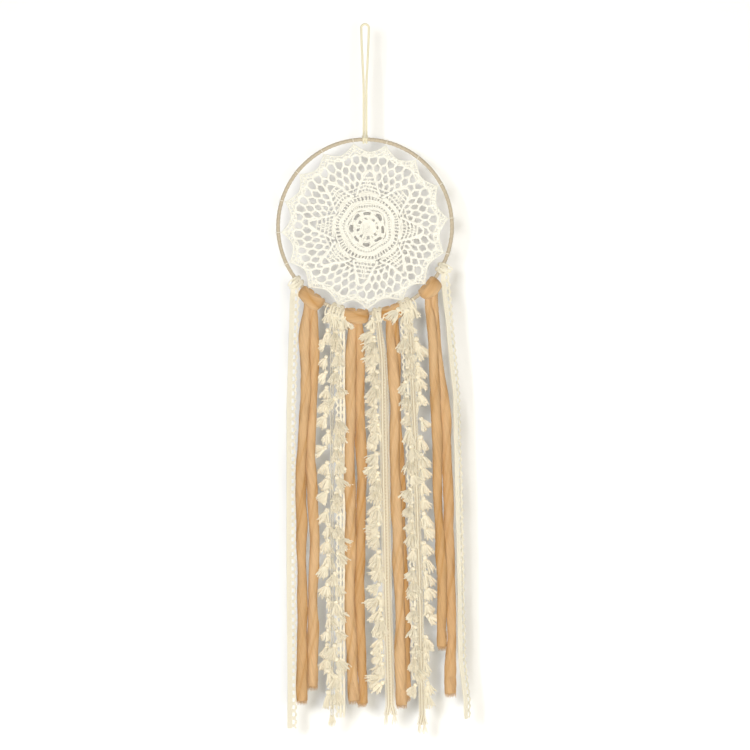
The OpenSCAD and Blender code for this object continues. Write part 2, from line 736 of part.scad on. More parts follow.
hanger_cord();
hanger_knot();
hoop_ring();
hoop_wrap();
doily();
doily_lashings();
lace_left();
lace_left_knot();
wool_1();
wool_1_knot();
fringe_1_braid();
fringe_1_tassels_left();
fringe_1_ties_left();
fringe_1_tassels_right();
fringe_1_ties_right();
fringe_1_knot();
inner_lace_left();
wool_2();
wool_2_knot();
fringe_2_braid();
fringe_2_tassels_front();
fringe_2_ties_front();
fringe_2_tassels_back();
fringe_2_ties_back();
fringe_2_knot();
wool_3();
wool_3_knot();
fringe_3_braid();
fringe_3_tassels_front();
fringe_3_ties_front();
fringe_3_tassels_back();
fringe_3_ties_back();
fringe_3_knot();
inner_lace_right();
wool_4();
wool_4_knot();
lace_right();
lace_right_knot();
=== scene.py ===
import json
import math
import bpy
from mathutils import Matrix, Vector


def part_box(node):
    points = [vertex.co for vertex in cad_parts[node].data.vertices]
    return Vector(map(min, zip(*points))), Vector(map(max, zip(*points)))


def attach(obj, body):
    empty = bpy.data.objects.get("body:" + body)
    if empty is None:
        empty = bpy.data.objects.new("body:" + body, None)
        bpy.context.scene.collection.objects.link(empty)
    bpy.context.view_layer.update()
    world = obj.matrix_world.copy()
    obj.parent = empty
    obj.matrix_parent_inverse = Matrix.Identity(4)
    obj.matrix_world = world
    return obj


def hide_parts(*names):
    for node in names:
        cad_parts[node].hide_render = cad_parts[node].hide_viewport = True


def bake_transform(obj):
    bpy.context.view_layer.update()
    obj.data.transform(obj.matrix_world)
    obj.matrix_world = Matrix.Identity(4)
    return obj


bl_info = {
    "name": "Dream Catcher",
    "version": (1, 0, 0),
    "blender": (4, 5, 0),
    "location": "View3D > Sidebar > Dream Catcher",
    "description": "Works the crochet, wool, lace and tassels of a dream catcher round its frame",
    "category": "Add Mesh",
}

import bpy
import numpy as np
from mathutils import Vector

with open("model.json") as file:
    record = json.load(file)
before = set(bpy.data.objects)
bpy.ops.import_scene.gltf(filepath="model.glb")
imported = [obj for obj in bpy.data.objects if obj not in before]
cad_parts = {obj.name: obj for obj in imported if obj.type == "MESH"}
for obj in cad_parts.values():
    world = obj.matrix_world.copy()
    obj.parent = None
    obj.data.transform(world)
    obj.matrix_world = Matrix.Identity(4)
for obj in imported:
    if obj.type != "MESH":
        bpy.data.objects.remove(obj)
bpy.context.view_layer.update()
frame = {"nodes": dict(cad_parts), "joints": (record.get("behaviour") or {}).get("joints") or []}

# Everything is worked in millimetres and turned into metres when a mesh is made
MM = 0.001
ACROSS = np.array([1.0, 0.0, 0.0])
DEPTH = np.array([0.0, 1.0, 0.0])
UP = np.array([0.0, 0.0, 1.0])


def node_box(node):
    """The lowest and highest corner of a CAD node, in millimetres."""
    low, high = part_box(node)
    return np.array(low) / MM, np.array(high) / MM


# The point that each body turns about, and the hoop's own size and place
hinges = {joint["child"]: np.array(joint["pos_m"]) / MM for joint in frame["joints"]}
wrap_low, wrap_high = node_box("hoop_wrap")
TUBE_R = (wrap_high[1] - wrap_low[1]) / 2
HOOP_R = (wrap_high[0] - wrap_low[0]) / 2 - TUBE_R
HOOP_Z = (wrap_high[2] + wrap_low[2]) / 2

# How far each strand drifts sideways at a drop below its knot, as (drop, drift) points
DRIFTS = {
    "lace_left": ((0, 0), (130, -4), (300, -4), (440, -3)),
    "wool_1": ((0, 0), (130, -3), (300, -3), (420, -2)),
    "fringe_1": ((0, 0), (440, 0)),
    "wool_2": ((0, 0), (300, 0), (420, 2)),
    "fringe_2": ((0, -4), (40, 0), (130, 1), (300, 4), (450, 8)),
    "wool_3": ((0, 0), (130, 5), (300, 10), (420, 13)),
    "fringe_3": ((0, 0), (130, 6), (300, 11), (450, 14)),
    "wool_4": ((0, 0), (130, 11), (300, 15), (420, 18)),
    "lace_right": ((0, 0), (130, 13), (300, 17), (430, 19.5), (475, 25)),
}

# Knots on the hoop: x from the strand's middle, thickness of the wraps, half distance between them
KNOTS = {
    "lace_left": (0, 3.8, 2.95),
    "wool_1": (0, 5.2, 4.85),
    "fringe_1": (3.94, 4.4, 4.45),
    "wool_2": (0, 5.2, 4.85),
    "fringe_2": (3.51, 3.8, 2.95),
    "wool_3": (0, 5.2, 4.85),
    "fringe_3": (-5.2, 4.4, 4.45),
    "wool_4": (0, 5.2, 4.85),
    "lace_right": (0, 3.8, 2.95),
}
# Gap between the tape and the wraps of a knot
WRAP_CLEAR = 0.6
# How far a strand's own cords run up into its knot
KNOT_RISE = 13


def strand_hinge(strand):
    """The point that a strand swings about."""
    return hinges[strand + "_strand"]


def drift(strand, drop):
    """Sideways drift of a strand at a drop below its knot."""
    drops, moves = zip(*DRIFTS[strand])
    return np.interp(drop, drops, moves)


def wrap_radius(strand):
    """Radius from the middle of the hoop's tube to the middle of a knot's wrap."""
    return TUBE_R + WRAP_CLEAR + KNOTS[strand][1] / 2


def knot_angle(strand):
    """Angle of a knot round the hoop, from the hoop's lowest point, in radians."""
    x = strand_hinge(strand)[0] + KNOTS[strand][0]
    return math.asin(x / (HOOP_R + wrap_radius(strand)))


# Paths


def unit(vectors):
    """The same vectors with length one."""
    return vectors / np.maximum(np.linalg.norm(vectors, axis=-1, keepdims=True), 1e-9)


def tangents(paths, closed):
    """Direction of each path at each of its points."""
    if closed:
        return unit(np.roll(paths, -1, axis=-2) - np.roll(paths, 1, axis=-2))
    return unit(np.gradient(paths, axis=-2))


def lengths(path):
    """Length along a path up to each of its points."""
    steps = np.linalg.norm(np.diff(path, axis=-2), axis=-1)
    start = np.zeros(steps.shape[:-1] + (1,))
    return np.concatenate([start, np.cumsum(steps, axis=-1)], axis=-1)


def axes(paths, facing, closed=False):
    """Directions along paths, across them and out of them, with the outside turned to one way."""
    along = tangents(paths, closed)
    across = unit(np.cross(facing, along))
    return along, across, np.cross(along, across)


def points_at(at, run, path):
    """Points of a path at lengths along it."""
    return np.stack([np.interp(at, run, path[:, axis]) for axis in range(3)], axis=-1)


def even(path, step, closed=False):
    """Points about one step apart along a path."""
    path = np.asarray(path, float)
    if closed:
        path = np.vstack([path, path[:1]])
    run = lengths(path)
    count = max(int(round(run[-1] / step)), 2)
    spaced = points_at(np.linspace(0, run[-1], count + 1), run, path)
    return spaced[:-1] if closed else spaced


def curve_through(points, step):
    """A smooth curve through points, with its own points one step apart."""
    p = np.asarray(points, float)
    p = np.vstack([2 * p[0] - p[1], p, 2 * p[-1] - p[-2]])
    t = np.linspace(0, 1, 24, endpoint=False)[:, None]
    parts = []
    for a, b, c, d in zip(p[:-3], p[1:-2], p[2:-1], p[3:]):
        bend = (2 * a - 5 * b + 4 * c - d) * t ** 2 + (3 * b - a - 3 * c + d) * t ** 3
        parts.append(b + 0.5 * ((c - a) * t + bend))
    parts.append(p[-2:-1])
    return even(np.vstack(parts), step)


def wander(run, rng, spacing):
    """A smooth random swing between about -1 and 1 along a length."""
    swing = np.zeros_like(run)
    for share in (1.0, 0.62, 0.37):
        swing = swing + share * np.sin(run / (spacing * share) + rng.uniform(0, 2 * math.pi))
    return swing / 2


# Yarn


# Ridges round a hank of wool: how many, and how deep as a share of its radius
RIDGES = ((2, 0.05), (3, 0.04), (5, 0.022), (9, 0.014), (17, 0.009), (25, 0.006))
# Creases of a hank: half widths in radians of the fold and its slopes, and depth as a share of its radius
CREASE_FOLD = 0.16
CREASE_SLOPE = 0.45
CREASE_DEPTH = 0.08
# How far the yarns of a chain lift over each other
CHAIN_LIFT = 0.3


class Weave:
    """Tubes of yarn, gathered in millimetres, that become one mesh. Each has its own seed."""

    def __init__(self, seed):
        self.rng = np.random.default_rng(seed)
        self.points = []
        self.corners = []
        self.sizes = []
        self.coordinates = []
        self.tones_and_shades = []
        self.count = 0

    def faces(self, corners, u, v):
        """Adds faces of equal size, with the yarn coordinates of their corners."""
        size = corners.shape[-1]
        self.corners.append(corners.reshape(-1))
        self.sizes.append(np.full(corners.size // size, size))
        self.coordinates.append(np.stack([u, v], axis=-1).reshape(-1, 2))

    def tubes(self, paths, radii, sides=5, facing=DEPTH, flat=1.0, closed=False, tone_and_shade=None):
        """Adds tubes of equal count along paths. Radii fit the shape (tubes, points, sides)."""
        paths = np.asarray(paths, float)
        if paths.ndim == 2:
            paths = paths[None]
        count, rings = paths.shape[:2]
        along, across, out = axes(paths, facing, closed)
        radii = np.broadcast_to(np.asarray(radii, float), (count, rings, sides))[..., None]
        turn = 2 * math.pi * np.arange(sides)[:, None] / sides
        ring = np.cos(turn) * across[:, :, None] + flat * np.sin(turn) * out[:, :, None]
        points = paths[:, :, None] + radii * ring
        index = self.count + np.arange(count * rings * sides).reshape(count, rings, sides)
        beside = np.roll(index, -1, axis=2)
        u = np.broadcast_to(np.arange(sides) / sides, index.shape)
        u_beside = u + 1 / sides
        run = lengths(np.concatenate([paths, paths[:, :1]], axis=1))
        v = np.broadcast_to(run[:, :-1, None], index.shape)
        v_next = np.broadcast_to(run[:, 1:, None], index.shape)
        if closed:
            index_next = np.roll(index, -1, axis=1)
            beside_next = np.roll(beside, -1, axis=1)
            keep = slice(None)
        else:
            index_next = index[:, 1:]
            beside_next = beside[:, 1:]
            keep = slice(0, -1)
        corners = np.stack([index[:, keep], beside[:, keep], beside_next, index_next], axis=-1)
        corner_u = np.stack([u[:, keep], u_beside[:, keep], u_beside[:, keep], u[:, keep]], axis=-1)
        corner_v = np.stack([v[:, keep], v[:, keep], v_next[:, keep], v_next[:, keep]], axis=-1)
        self.faces(corners, corner_u, corner_v)
        if not closed:
            self.faces(index[:, 0, ::-1], u[:, 0, ::-1], v[:, 0, ::-1])
            self.faces(index[:, -1], u[:, -1], v[:, -1])
        # Without a given painted shade, each tube takes a random tone of its own
        if tone_and_shade is None:
            tone_and_shade = self.rng.uniform(0, 0.25, (count, 1, 1))
        self.points.append(points.reshape(-1, 3))
        self.tones_and_shades.append(np.broadcast_to(tone_and_shade, index.shape).reshape(-1))
        self.count += index.size

    def chain(self, path, width=0.52, yarn=0.46, pitch=4.2, step=0.5, sides=5, facing=DEPTH, closed=False,
              tone_and_shade=None):
        """A crochet chain: three yarns that cross each other along a path."""
        path = even(path, step, closed)
        along, across, out = axes(path, facing, closed)
        run = lengths(np.vstack([path, path[:1]]))
        total = run[-1] if closed else run[-2]
        turns = max(round(total / pitch), 1) if closed else total / pitch
        strands = []
        for k in range(3):
            angle = 2 * math.pi * (run[:-1, None] / total * turns + k / 3)
            strands.append(path + width * np.sin(angle) * across + CHAIN_LIFT * np.sin(2 * angle) * out)
        self.tubes(np.stack(strands), yarn, sides, facing, closed=closed, tone_and_shade=tone_and_shade)

    def twist(self, path, spread=0.38, yarn=0.44, pitch=2.6, step=0.4, sides=5, facing=DEPTH):
        """A cord of two yarns turned round each other, as in a tall stitch."""
        path = even(path, step)
        along, across, out = axes(path, facing)
        angle = 2 * math.pi * lengths(path)[:, None] / pitch + self.rng.uniform(0, math.pi)
        swing = spread * (np.cos(angle) * across + np.sin(angle) * out)
        self.tubes(np.stack([path + swing, path - swing]), yarn, sides, facing)

    def roving(self, path, radii, sides=56, facing=DEPTH, flat=0.92, creases=4, deep=0.0, twist=110.0):
        """A hank of combed wool: ridges of fibre that turn round it, soft creases, and painted shade in its
        creases, on its left and right sides and over the whole hank as given.
        """
        run = lengths(path)[:, None]
        turn = 2 * math.pi * np.arange(sides) / sides
        lay = self.rng.uniform(-0.6, 0.6) + run / twist
        shape = np.ones((len(path), sides))
        for lobes, depth in RIDGES:
            sway = 1.2 * wander(run, self.rng, 90)
            shape += depth * np.cos(lobes * (turn + lay) + sway + self.rng.uniform(0, 2 * math.pi))
        hollow = np.zeros_like(shape)
        for _ in range(creases):
            middle = self.rng.uniform(0, 2 * math.pi) + 0.7 * wander(run, self.rng, 80)
            apart = (turn - middle - lay + math.pi) % (2 * math.pi) - math.pi
            reach = 0.5 + 0.5 * wander(run, self.rng, 40)
            fold = np.exp(-(apart / CREASE_FOLD) ** 2)
            slope = np.exp(-(apart / CREASE_SLOPE) ** 2)
            hollow += np.clip(reach, 0, 1) * (0.6 * fold + 0.5 * slope)
        shape -= CREASE_DEPTH * hollow
        swell = 1 + 0.03 * wander(run, self.rng, 45)
        # Painted shade: in the creases, on the left and right sides, and the share given for the whole hank
        tone_and_shade = 0.8 * hollow + deep + 0.65 * np.abs(np.cos(turn)) ** 4
        self.tubes(path, np.asarray(radii)[:, None] * swell * shape, sides, facing, flat, tone_and_shade=tone_and_shade)

    def strays(self, path, radius, count, reach, lift, thin):
        """Loose fibres that lie along a hanging strand and lift off it at one end."""
        run = lengths(path)
        t = np.linspace(0, 1, 8)
        start = self.rng.uniform(0.02, 0.98, (count, 1)) * run[-1]
        sign = self.rng.choice([-1.0, 1.0], (count, 1))
        at = np.clip(start + sign * t * self.rng.uniform(0.4, 1, (count, 1)) * reach, 0, run[-1])
        angle = self.rng.uniform(0, 2 * math.pi, (count, 1)) + self.rng.normal(0, 0.5, (count, 1)) * t
        out = np.interp(at, run, np.broadcast_to(radius, run.shape)) * 0.97
        out = out + lift * self.rng.uniform(0, 1, (count, 1)) * t ** 2
        middle = points_at(at, run, path)
        side = np.stack([np.cos(angle), np.sin(angle), 0.12 * np.sin(9 * t + angle)], axis=-1)
        self.tubes(middle + out[..., None] * side, thin * (1.1 - t)[:, None], 3, tone_and_shade=0.1)

    def piece(self, name, material):
        """The gathered tubes as one object."""
        mesh = bpy.data.meshes.new(name)
        points = np.concatenate(self.points) * MM
        corners = np.concatenate(self.corners)
        sizes = np.concatenate(self.sizes)
        mesh.vertices.add(len(points))
        mesh.vertices.foreach_set("co", points.ravel())
        mesh.loops.add(len(corners))
        mesh.loops.foreach_set("vertex_index", corners)
        mesh.polygons.add(len(sizes))
        mesh.polygons.foreach_set("loop_start", np.cumsum(sizes) - sizes)
        mesh.polygons.foreach_set("use_smooth", np.ones(len(sizes), bool))
        mesh.uv_layers.new(name="Yarn").data.foreach_set("uv", np.concatenate(self.coordinates).ravel())
        # The Tone attribute holds each point's random tone and its painted shade
        tone_and_shade = mesh.attributes.new("Tone", "FLOAT", "POINT")
        tone_and_shade.data.foreach_set("value", np.concatenate(self.tones_and_shades))
        mesh.update(calc_edges=True)
        mesh.materials.append(material)
        made = bpy.data.objects.new(name, mesh)
        bpy.context.scene.collection.objects.link(made)
        return made


def bend_at_knot(piece):
    """Bakes a piece's place into its mesh."""
    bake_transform(piece)


def hang(piece):
    """Bakes the place of a hanging cord into its mesh."""
    bend_at_knot(piece)


# Finishes


def add_node(tree, kind, inputs=(), **settings):
    """Adds a shader node, sets its fields and fills or links its inputs by name or number."""
    node = tree.nodes.new(kind)
    for field, value in settings.items():
        setattr(node, field, value)
    for key, value in dict(inputs).items():
        if isinstance(value, bpy.types.NodeSocket):
            tree.links.new(value, node.inputs[key])
        else:
            node.inputs[key].default_value = value
    return node


def new_group(name, numbers, results):
    """An empty shader node group with number inputs and outputs."""
    tree = bpy.data.node_groups.new(name, "ShaderNodeTree")
    for label, value in numbers:
        socket = tree.interface.new_socket(label, in_out="INPUT", socket_type="NodeSocketFloat")
        socket.default_value = value
    for label in results:
        tree.interface.new_socket(label, in_out="OUTPUT", socket_type="NodeSocketFloat")
    return tree, tree.nodes.new("NodeGroupInput"), tree.nodes.new("NodeGroupOutput")


def math_node(tree, operation, first, second=0.0):
    """The result of one sum on two numbers or sockets."""
    return add_node(tree, "ShaderNodeMath", {0: first, 1: second}, operation=operation).outputs[0]


def yarn_parts(tree):
    """The coordinates of a yarn: its turn from 0 to 1, and the length along it in millimetres."""
    yarn = add_node(tree, "ShaderNodeUVMap", uv_map="Yarn").outputs["UV"]
    return add_node(tree, "ShaderNodeSeparateXYZ", {0: yarn}).outputs


def tone_and_shade_of(tree):
    """Random tone of a yarn, and painted shade where it lies deep in its yarn, hank, knot or tassel, as the
    mesh says.
    """
    return add_node(tree, "ShaderNodeAttribute", attribute_name="Tone").outputs["Fac"]


def speckle(tree, **inputs):
    """Noise that is fixed to the piece."""
    place = add_node(tree, "ShaderNodeTexCoord").outputs["Object"]
    return add_node(tree, "ShaderNodeTexNoise", {"Vector": place, **inputs}).outputs[0]


def ply_twist_group():
    """Ridges of the plies that turn round a yarn, from its own coordinates."""
    tree, given, result = new_group("Ply Twist", (("Plies", 3.0), ("Pitch", 1.6)), ("Height",))
    yarn = yarn_parts(tree)
    around = math_node(tree, "MULTIPLY", yarn["X"], given.outputs["Plies"])
    along = math_node(tree, "DIVIDE", yarn["Y"], given.outputs["Pitch"])
    phase = math_node(tree, "MULTIPLY", math_node(tree, "ADD", around, along), math.pi)
    ridge = math_node(tree, "ABSOLUTE", math_node(tree, "SINE", phase))
    tree.links.new(math_node(tree, "POWER", ridge, 0.7), result.inputs["Height"])
    return tree


def fibre_grain_group():
    """Streaks of fibre that run along a yarn or hank."""
    numbers = (("Around", 6.0), ("Along", 0.05), ("Twist", 0.0))
    tree, given, result = new_group("Fibre Grain", numbers, ("Streak",))
    yarn = yarn_parts(tree)
    spin = math_node(tree, "MULTIPLY", yarn["Y"], given.outputs["Twist"])
    turn = math_node(tree, "ADD", math_node(tree, "MULTIPLY", yarn["X"], 2 * math.pi), spin)
    x = math_node(tree, "MULTIPLY", math_node(tree, "COSINE", turn), given.outputs["Around"])
    y = math_node(tree, "MULTIPLY", math_node(tree, "SINE", turn), given.outputs["Around"])
    z = math_node(tree, "MULTIPLY", yarn["Y"], given.outputs["Along"])
    place = add_node(tree, "ShaderNodeCombineXYZ", {0: x, 1: y, 2: z}).outputs[0]
    noise = add_node(tree, "ShaderNodeTexNoise", {"Vector": place, "Scale": 1.0, "Detail": 5.0})
    tree.links.new(noise.outputs[0], result.inputs["Streak"])
    return tree


def tone_drift_group():
    """Slow changes of shade over the piece, with a step from yarn to yarn."""
    numbers = (("Size", 18.0), ("Yarn Share", 0.5))
    tree, given, result = new_group("Tone Drift", numbers, ("Shade",))
    noise = speckle(tree, Scale=given.outputs["Size"])
    own = math_node(tree, "MULTIPLY", tone_and_shade_of(tree), given.outputs["Yarn Share"])
    rest = math_node(tree, "SUBTRACT", 1.0, given.outputs["Yarn Share"])
    slow = math_node(tree, "MULTIPLY", noise, rest)
    tree.links.new(math_node(tree, "ADD", own, slow), result.inputs["Shade"])
    return tree


groups = {}


def effect(tree, name, **values):
    """Places a shared effect in a material, with its own values."""
    makers = {
        "Ply Twist": ply_twist_group,
        "Fibre Grain": fibre_grain_group,
        "Tone Drift": tone_drift_group,
    }
    if name not in groups:
        groups[name] = makers[name]()
    node = add_node(tree, "ShaderNodeGroup", node_tree=groups[name])
    for label, value in values.items():
        node.inputs[label.replace("_", " ").title()].default_value = value
    return node.outputs[0]


def mixed(tree, share, first, second):
    """A colour between two colours, by a share from 0 to 1."""
    node = add_node(tree, "ShaderNodeMix", {0: share, 6: first, 7: second}, data_type="RGBA")
    return node.outputs[2]


def shade_of(colour, share):
    """The same colour, darker or lighter by a share of its light."""
    return tuple(min(value * share, 1.0) for value in colour[:3]) + (1.0,)


def empty_tree(owner):
    """The node tree of a new material or world, with nothing in it."""
    owner.use_nodes = True
    owner.node_tree.nodes.clear()
    return owner.node_tree


def new_material(name):
    """The node tree and the surface shader of a new material."""
    tree = empty_tree(bpy.data.materials.new(name))
    shader = tree.nodes.new("ShaderNodeBsdfPrincipled")
    output = tree.nodes.new("ShaderNodeOutputMaterial")
    tree.links.new(shader.outputs[0], output.inputs["Surface"])
    return tree, shader


def set_rough(tree, shader, mask, share, least):
    """Makes the surface rougher where a mask is high."""
    rough = math_node(tree, "ADD", math_node(tree, "MULTIPLY", mask, share), least)
    tree.links.new(rough, shader.inputs["Roughness"])


def set_bump(tree, shader, height, distance, strength=0.6):
    """Turns a height into the surface's relief."""
    bump = add_node(tree, "ShaderNodeBump", {"Height": height, "Strength": strength, "Distance": distance})
    tree.links.new(bump.outputs[0], shader.inputs["Normal"])


def made_once(make):
    """Lets a maker of a finish run once for each name."""

    def finish(name, *values, **settings):
        if name not in bpy.data.materials:
            make(name, *values, **settings)
        return bpy.data.materials[name]

    return finish


@made_once
def yarn_finish(name, colour, deep, plies=3.0, pitch=1.6, groove_shade=0.8, sheen=0.15):
    """Cotton yarn: twisted plies, fibre streaks, painted shade in the grooves between the plies, and a
    deeper colour that is random tone from yarn to yarn and painted shade deep inside knots, braids and
    tassels.
    """
    tree, shader = new_material(name)
    ridge = effect(tree, "Ply Twist", plies=plies, pitch=pitch)
    streak = effect(tree, "Fibre Grain", around=1.6, along=0.9)
    shade = effect(tree, "Tone Drift", size=14.0, yarn_share=0.0)
    body = mixed(tree, shade, tuple(colour), shade_of(colour, 0.93))
    # Deeper colour: random darker tone of single yarns, and painted shade deep inside knots, braids and
    # tassels
    body = mixed(tree, math_node(tree, "MULTIPLY", tone_and_shade_of(tree), 0.75), body, tuple(deep))
    # Painted shade in the grooves between the plies
    groove = math_node(tree, "MULTIPLY", math_node(tree, "SUBTRACT", 1.0, ridge), 0.75)
    tree.links.new(mixed(tree, groove, body, shade_of(colour, groove_shade)), shader.inputs["Base Color"])
    set_rough(tree, shader, streak, 0.2, 0.72)
    set_bump(tree, shader, math_node(tree, "ADD", ridge, math_node(tree, "MULTIPLY", streak, 0.5)), 0.0002)
    shader.inputs["Sheen Weight"].default_value = sheen
    shader.inputs["Specular IOR Level"].default_value = 0.25


# Length of hank in which the fibres turn by one radian, in millimetres
WOOL_TWIST = 24


@made_once
def wool_finish(name, colours):
    """Combed wool: long fibre streaks, and painted shade of a deeper warm colour in the creases, on the
    sides of the hanks and over darker legs.
    """
    tree, shader = new_material(name)
    streak = effect(tree, "Fibre Grain", around=5.0, along=0.05, twist=1 / WOOL_TWIST)
    fine = effect(tree, "Fibre Grain", around=14.0, along=0.12, twist=1 / WOOL_TWIST)
    shade = effect(tree, "Tone Drift", size=22.0, yarn_share=0.0)
    wool = tuple(colours.wool)
    body = mixed(tree, shade, shade_of(wool, 1.04), shade_of(wool, 0.88))
    lines = add_node(tree, "ShaderNodeMapRange", {0: streak, 1: 0.4, 2: 0.68}).outputs[0]
    body = mixed(tree, math_node(tree, "MULTIPLY", lines, 0.6), body, shade_of(wool, 0.74))
    hairs = add_node(tree, "ShaderNodeMapRange", {0: fine, 1: 0.45, 2: 0.7}).outputs[0]
    body = mixed(tree, math_node(tree, "MULTIPLY", hairs, 0.4), body, shade_of(wool, 1.2))
    # Painted shade in the creases, on the sides of the hanks and over whole legs, with random tone on loose
    # fibres
    deep = math_node(tree, "MINIMUM", math_node(tree, "MULTIPLY", tone_and_shade_of(tree), 0.6), 0.85)
    tree.links.new(mixed(tree, deep, body, tuple(colours.wool_crease_shade)), shader.inputs["Base Color"])
    set_rough(tree, shader, fine, 0.25, 0.7)
    set_bump(tree, shader, math_node(tree, "ADD", streak, math_node(tree, "MULTIPLY", fine, 0.6)), 0.0007)
    shader.inputs["Sheen Weight"].default_value = 0.12
    shader.inputs["Sheen Roughness"].default_value = 0.45
    shader.inputs["Specular IOR Level"].default_value = 0.15


@made_once
def satin_finish(name, colour):
    """Satin cord: fine slanted threads with painted shade between them, and a soft shine."""
    tree, shader = new_material(name)
    ridge = effect(tree, "Ply Twist", plies=8.0, pitch=0.9)
    shade = effect(tree, "Tone Drift", size=30.0, yarn_share=0.2)
    body = mixed(tree, shade, tuple(colour), shade_of(colour, 0.86))
    # Painted shade in the grooves between the threads
    groove = math_node(tree, "MULTIPLY", math_node(tree, "SUBTRACT", 1.0, ridge), 0.5)
    tree.links.new(mixed(tree, groove, body, shade_of(colour, 0.7)), shader.inputs["Base Color"])
    set_rough(tree, shader, shade, 0.15, 0.28)
    set_bump(tree, shader, ridge, 0.0001, 0.4)
    shader.inputs["Sheen Weight"].default_value = 0.4


@made_once
def tape_finish(name, colour):
    """Woven tape wound on the hoop: fine cross threads, and painted shade where one turn covers the next.
    """
    tree, shader = new_material(name)
    threads = effect(tree, "Ply Twist", plies=26.0, pitch=0.6)
    shade = effect(tree, "Tone Drift", size=26.0, yarn_share=0.0)
    body = mixed(tree, shade, shade_of(colour, 1.05), shade_of(colour, 0.84))
    # Painted shade under the edge of the turn above
    body = mixed(tree, math_node(tree, "MULTIPLY", tone_and_shade_of(tree), 0.35), body, shade_of(colour, 0.65))
    tree.links.new(body, shader.inputs["Base Color"])
    set_rough(tree, shader, threads, 0.2, 0.55)
    set_bump(tree, shader, threads, 0.0001, 0.5)
    shader.inputs["Sheen Weight"].default_value = 0.1


@made_once
def steel_finish(name, colour):
    """Bare drawn wire under the tape."""
    tree, shader = new_material(name)
    noise = speckle(tree, Scale=300.0, Detail=6.0)
    tree.links.new(mixed(tree, noise, tuple(colour), shade_of(colour, 0.7)), shader.inputs["Base Color"])
    set_rough(tree, shader, noise, 0.3, 0.2)
    shader.inputs["Metallic"].default_value = 1.0


# Settings


class DreamCatcherSizes(bpy.types.PropertyGroup):
    """Sizes of the soft pieces."""

    wool_thickness: bpy.props.FloatProperty(
        name="Wool thickness", description="Thickness of one leg of wool", default=0.0104, unit="LENGTH"
    )
    lace_width: bpy.props.FloatProperty(
        name="Lace width", description="Width of the lace to its points", default=0.0102, unit="LENGTH"
    )
    lace_pitch: bpy.props.FloatProperty(
        name="Lace pitch", description="Distance between points of the lace", default=0.0082, unit="LENGTH"
    )
    braid_width: bpy.props.FloatProperty(
        name="Braid width", description="Width of the braid with the tassels", default=0.006, unit="LENGTH"
    )
    tassel_height: bpy.props.FloatProperty(
        name="Tassel height", description="Height of one tassel", default=0.019, unit="LENGTH"
    )
    tassel_width: bpy.props.FloatProperty(
        name="Tassel width", description="Width of a tassel's skirt", default=0.016, unit="LENGTH"
    )
    tassel_pitch: bpy.props.FloatProperty(
        name="Tassel pitch", description="Distance between tassels on a braid", default=0.017, unit="LENGTH"
    )
    tassel_threads: bpy.props.IntProperty(
        name="Tassel threads", description="Threads in one tassel", default=52, min=8, max=80
    )
    cord_thickness: bpy.props.FloatProperty(
        name="Hanger thickness", description="Thickness of the satin cord", default=0.0025, unit="LENGTH"
    )
    tape_turns: bpy.props.IntProperty(
        name="Tape turns", description="Turns of tape round the hoop", default=118, min=20, max=300
    )


class DreamCatcherColours(bpy.types.PropertyGroup):
    """Colours of the finishes."""

    cotton: bpy.props.FloatVectorProperty(
        name="Crochet cotton", description="Colour of the doily", subtype="COLOR", size=4,
        default=(0.97, 0.945, 0.84, 1),
    )
    lace: bpy.props.FloatVectorProperty(
        name="Lace", description="Colour of the lace", subtype="COLOR", size=4,
        default=(0.98, 0.93, 0.77, 1),
    )
    fringe: bpy.props.FloatVectorProperty(
        name="Fringe", description="Colour of the braids and tassels", subtype="COLOR", size=4,
        default=(0.98, 0.91, 0.72, 1),
    )
    thread: bpy.props.FloatVectorProperty(
        name="Binding thread", description="Colour of the tassels' thread", subtype="COLOR", size=4,
        default=(0.88, 0.78, 0.55, 1),
    )
    # Painted shade deep inside trims, knots and tassels; single yarns also take part of it as random darker
    # tone
    trim_shade: bpy.props.FloatVectorProperty(
        name="Trim shade", description="Colour deep inside trims and knots", subtype="COLOR", size=4,
        default=(0.55, 0.4, 0.22, 1),
    )
    wool: bpy.props.FloatVectorProperty(
        name="Wool", description="Colour of the wool", subtype="COLOR", size=4,
        default=(0.68, 0.445, 0.235, 1),
    )
    # Painted shade deep in the creases of the wool
    wool_crease_shade: bpy.props.FloatVectorProperty(
        name="Wool crease shade", description="Colour deep in the creases of the wool", subtype="COLOR", size=4,
        default=(0.46, 0.225, 0.055, 1),
    )
    satin: bpy.props.FloatVectorProperty(
        name="Satin cord", description="Colour of the hanger", subtype="COLOR", size=4,
        default=(0.86, 0.79, 0.55, 1),
    )
    tape: bpy.props.FloatVectorProperty(
        name="Hoop tape", description="Colour of the tape round the hoop", subtype="COLOR", size=4,
        default=(0.56, 0.47, 0.335, 1),
    )
    steel: bpy.props.FloatVectorProperty(
        name="Steel wire", description="Colour of the wire ring", subtype="COLOR", size=4,
        default=(0.55, 0.55, 0.57, 1),
    )


def sizes():
    """The sizes in millimetres, by name."""
    group = bpy.context.scene.dream_catcher_sizes
    return {
        name: prop / MM if isinstance(prop, float) else prop
        for name, prop in ((key, getattr(group, key)) for key in DreamCatcherSizes.__annotations__)
    }


def colours():
    """The colour settings of the scene."""
    return bpy.context.scene.dream_catcher_colours


def lace_cotton():
    """The finish of the laces."""
    return yarn_finish("Lace Cotton", colours().lace, colours().trim_shade)


def fringe_cotton():
    """The finish of the braids and tassels."""
    return yarn_finish("Fringe Cotton", colours().fringe, colours().trim_shade, groove_shade=0.74)


# Stage


CAMERA = (0.0112, -1.99, -0.393)
LENS = 85
SENSOR = 36
# Lamps by the camera, for close shadows: name, how far aside and above it, power and colour
WINDOWS = (
    ("Window Left", -0.055, 0.03, 6.3, (0.97, 1.0, 1.06)),
    ("Window Right", 0.045, 0.0, 3.3, (1.05, 1.0, 0.88)),
)
WINDOW_SIZE = 0.06
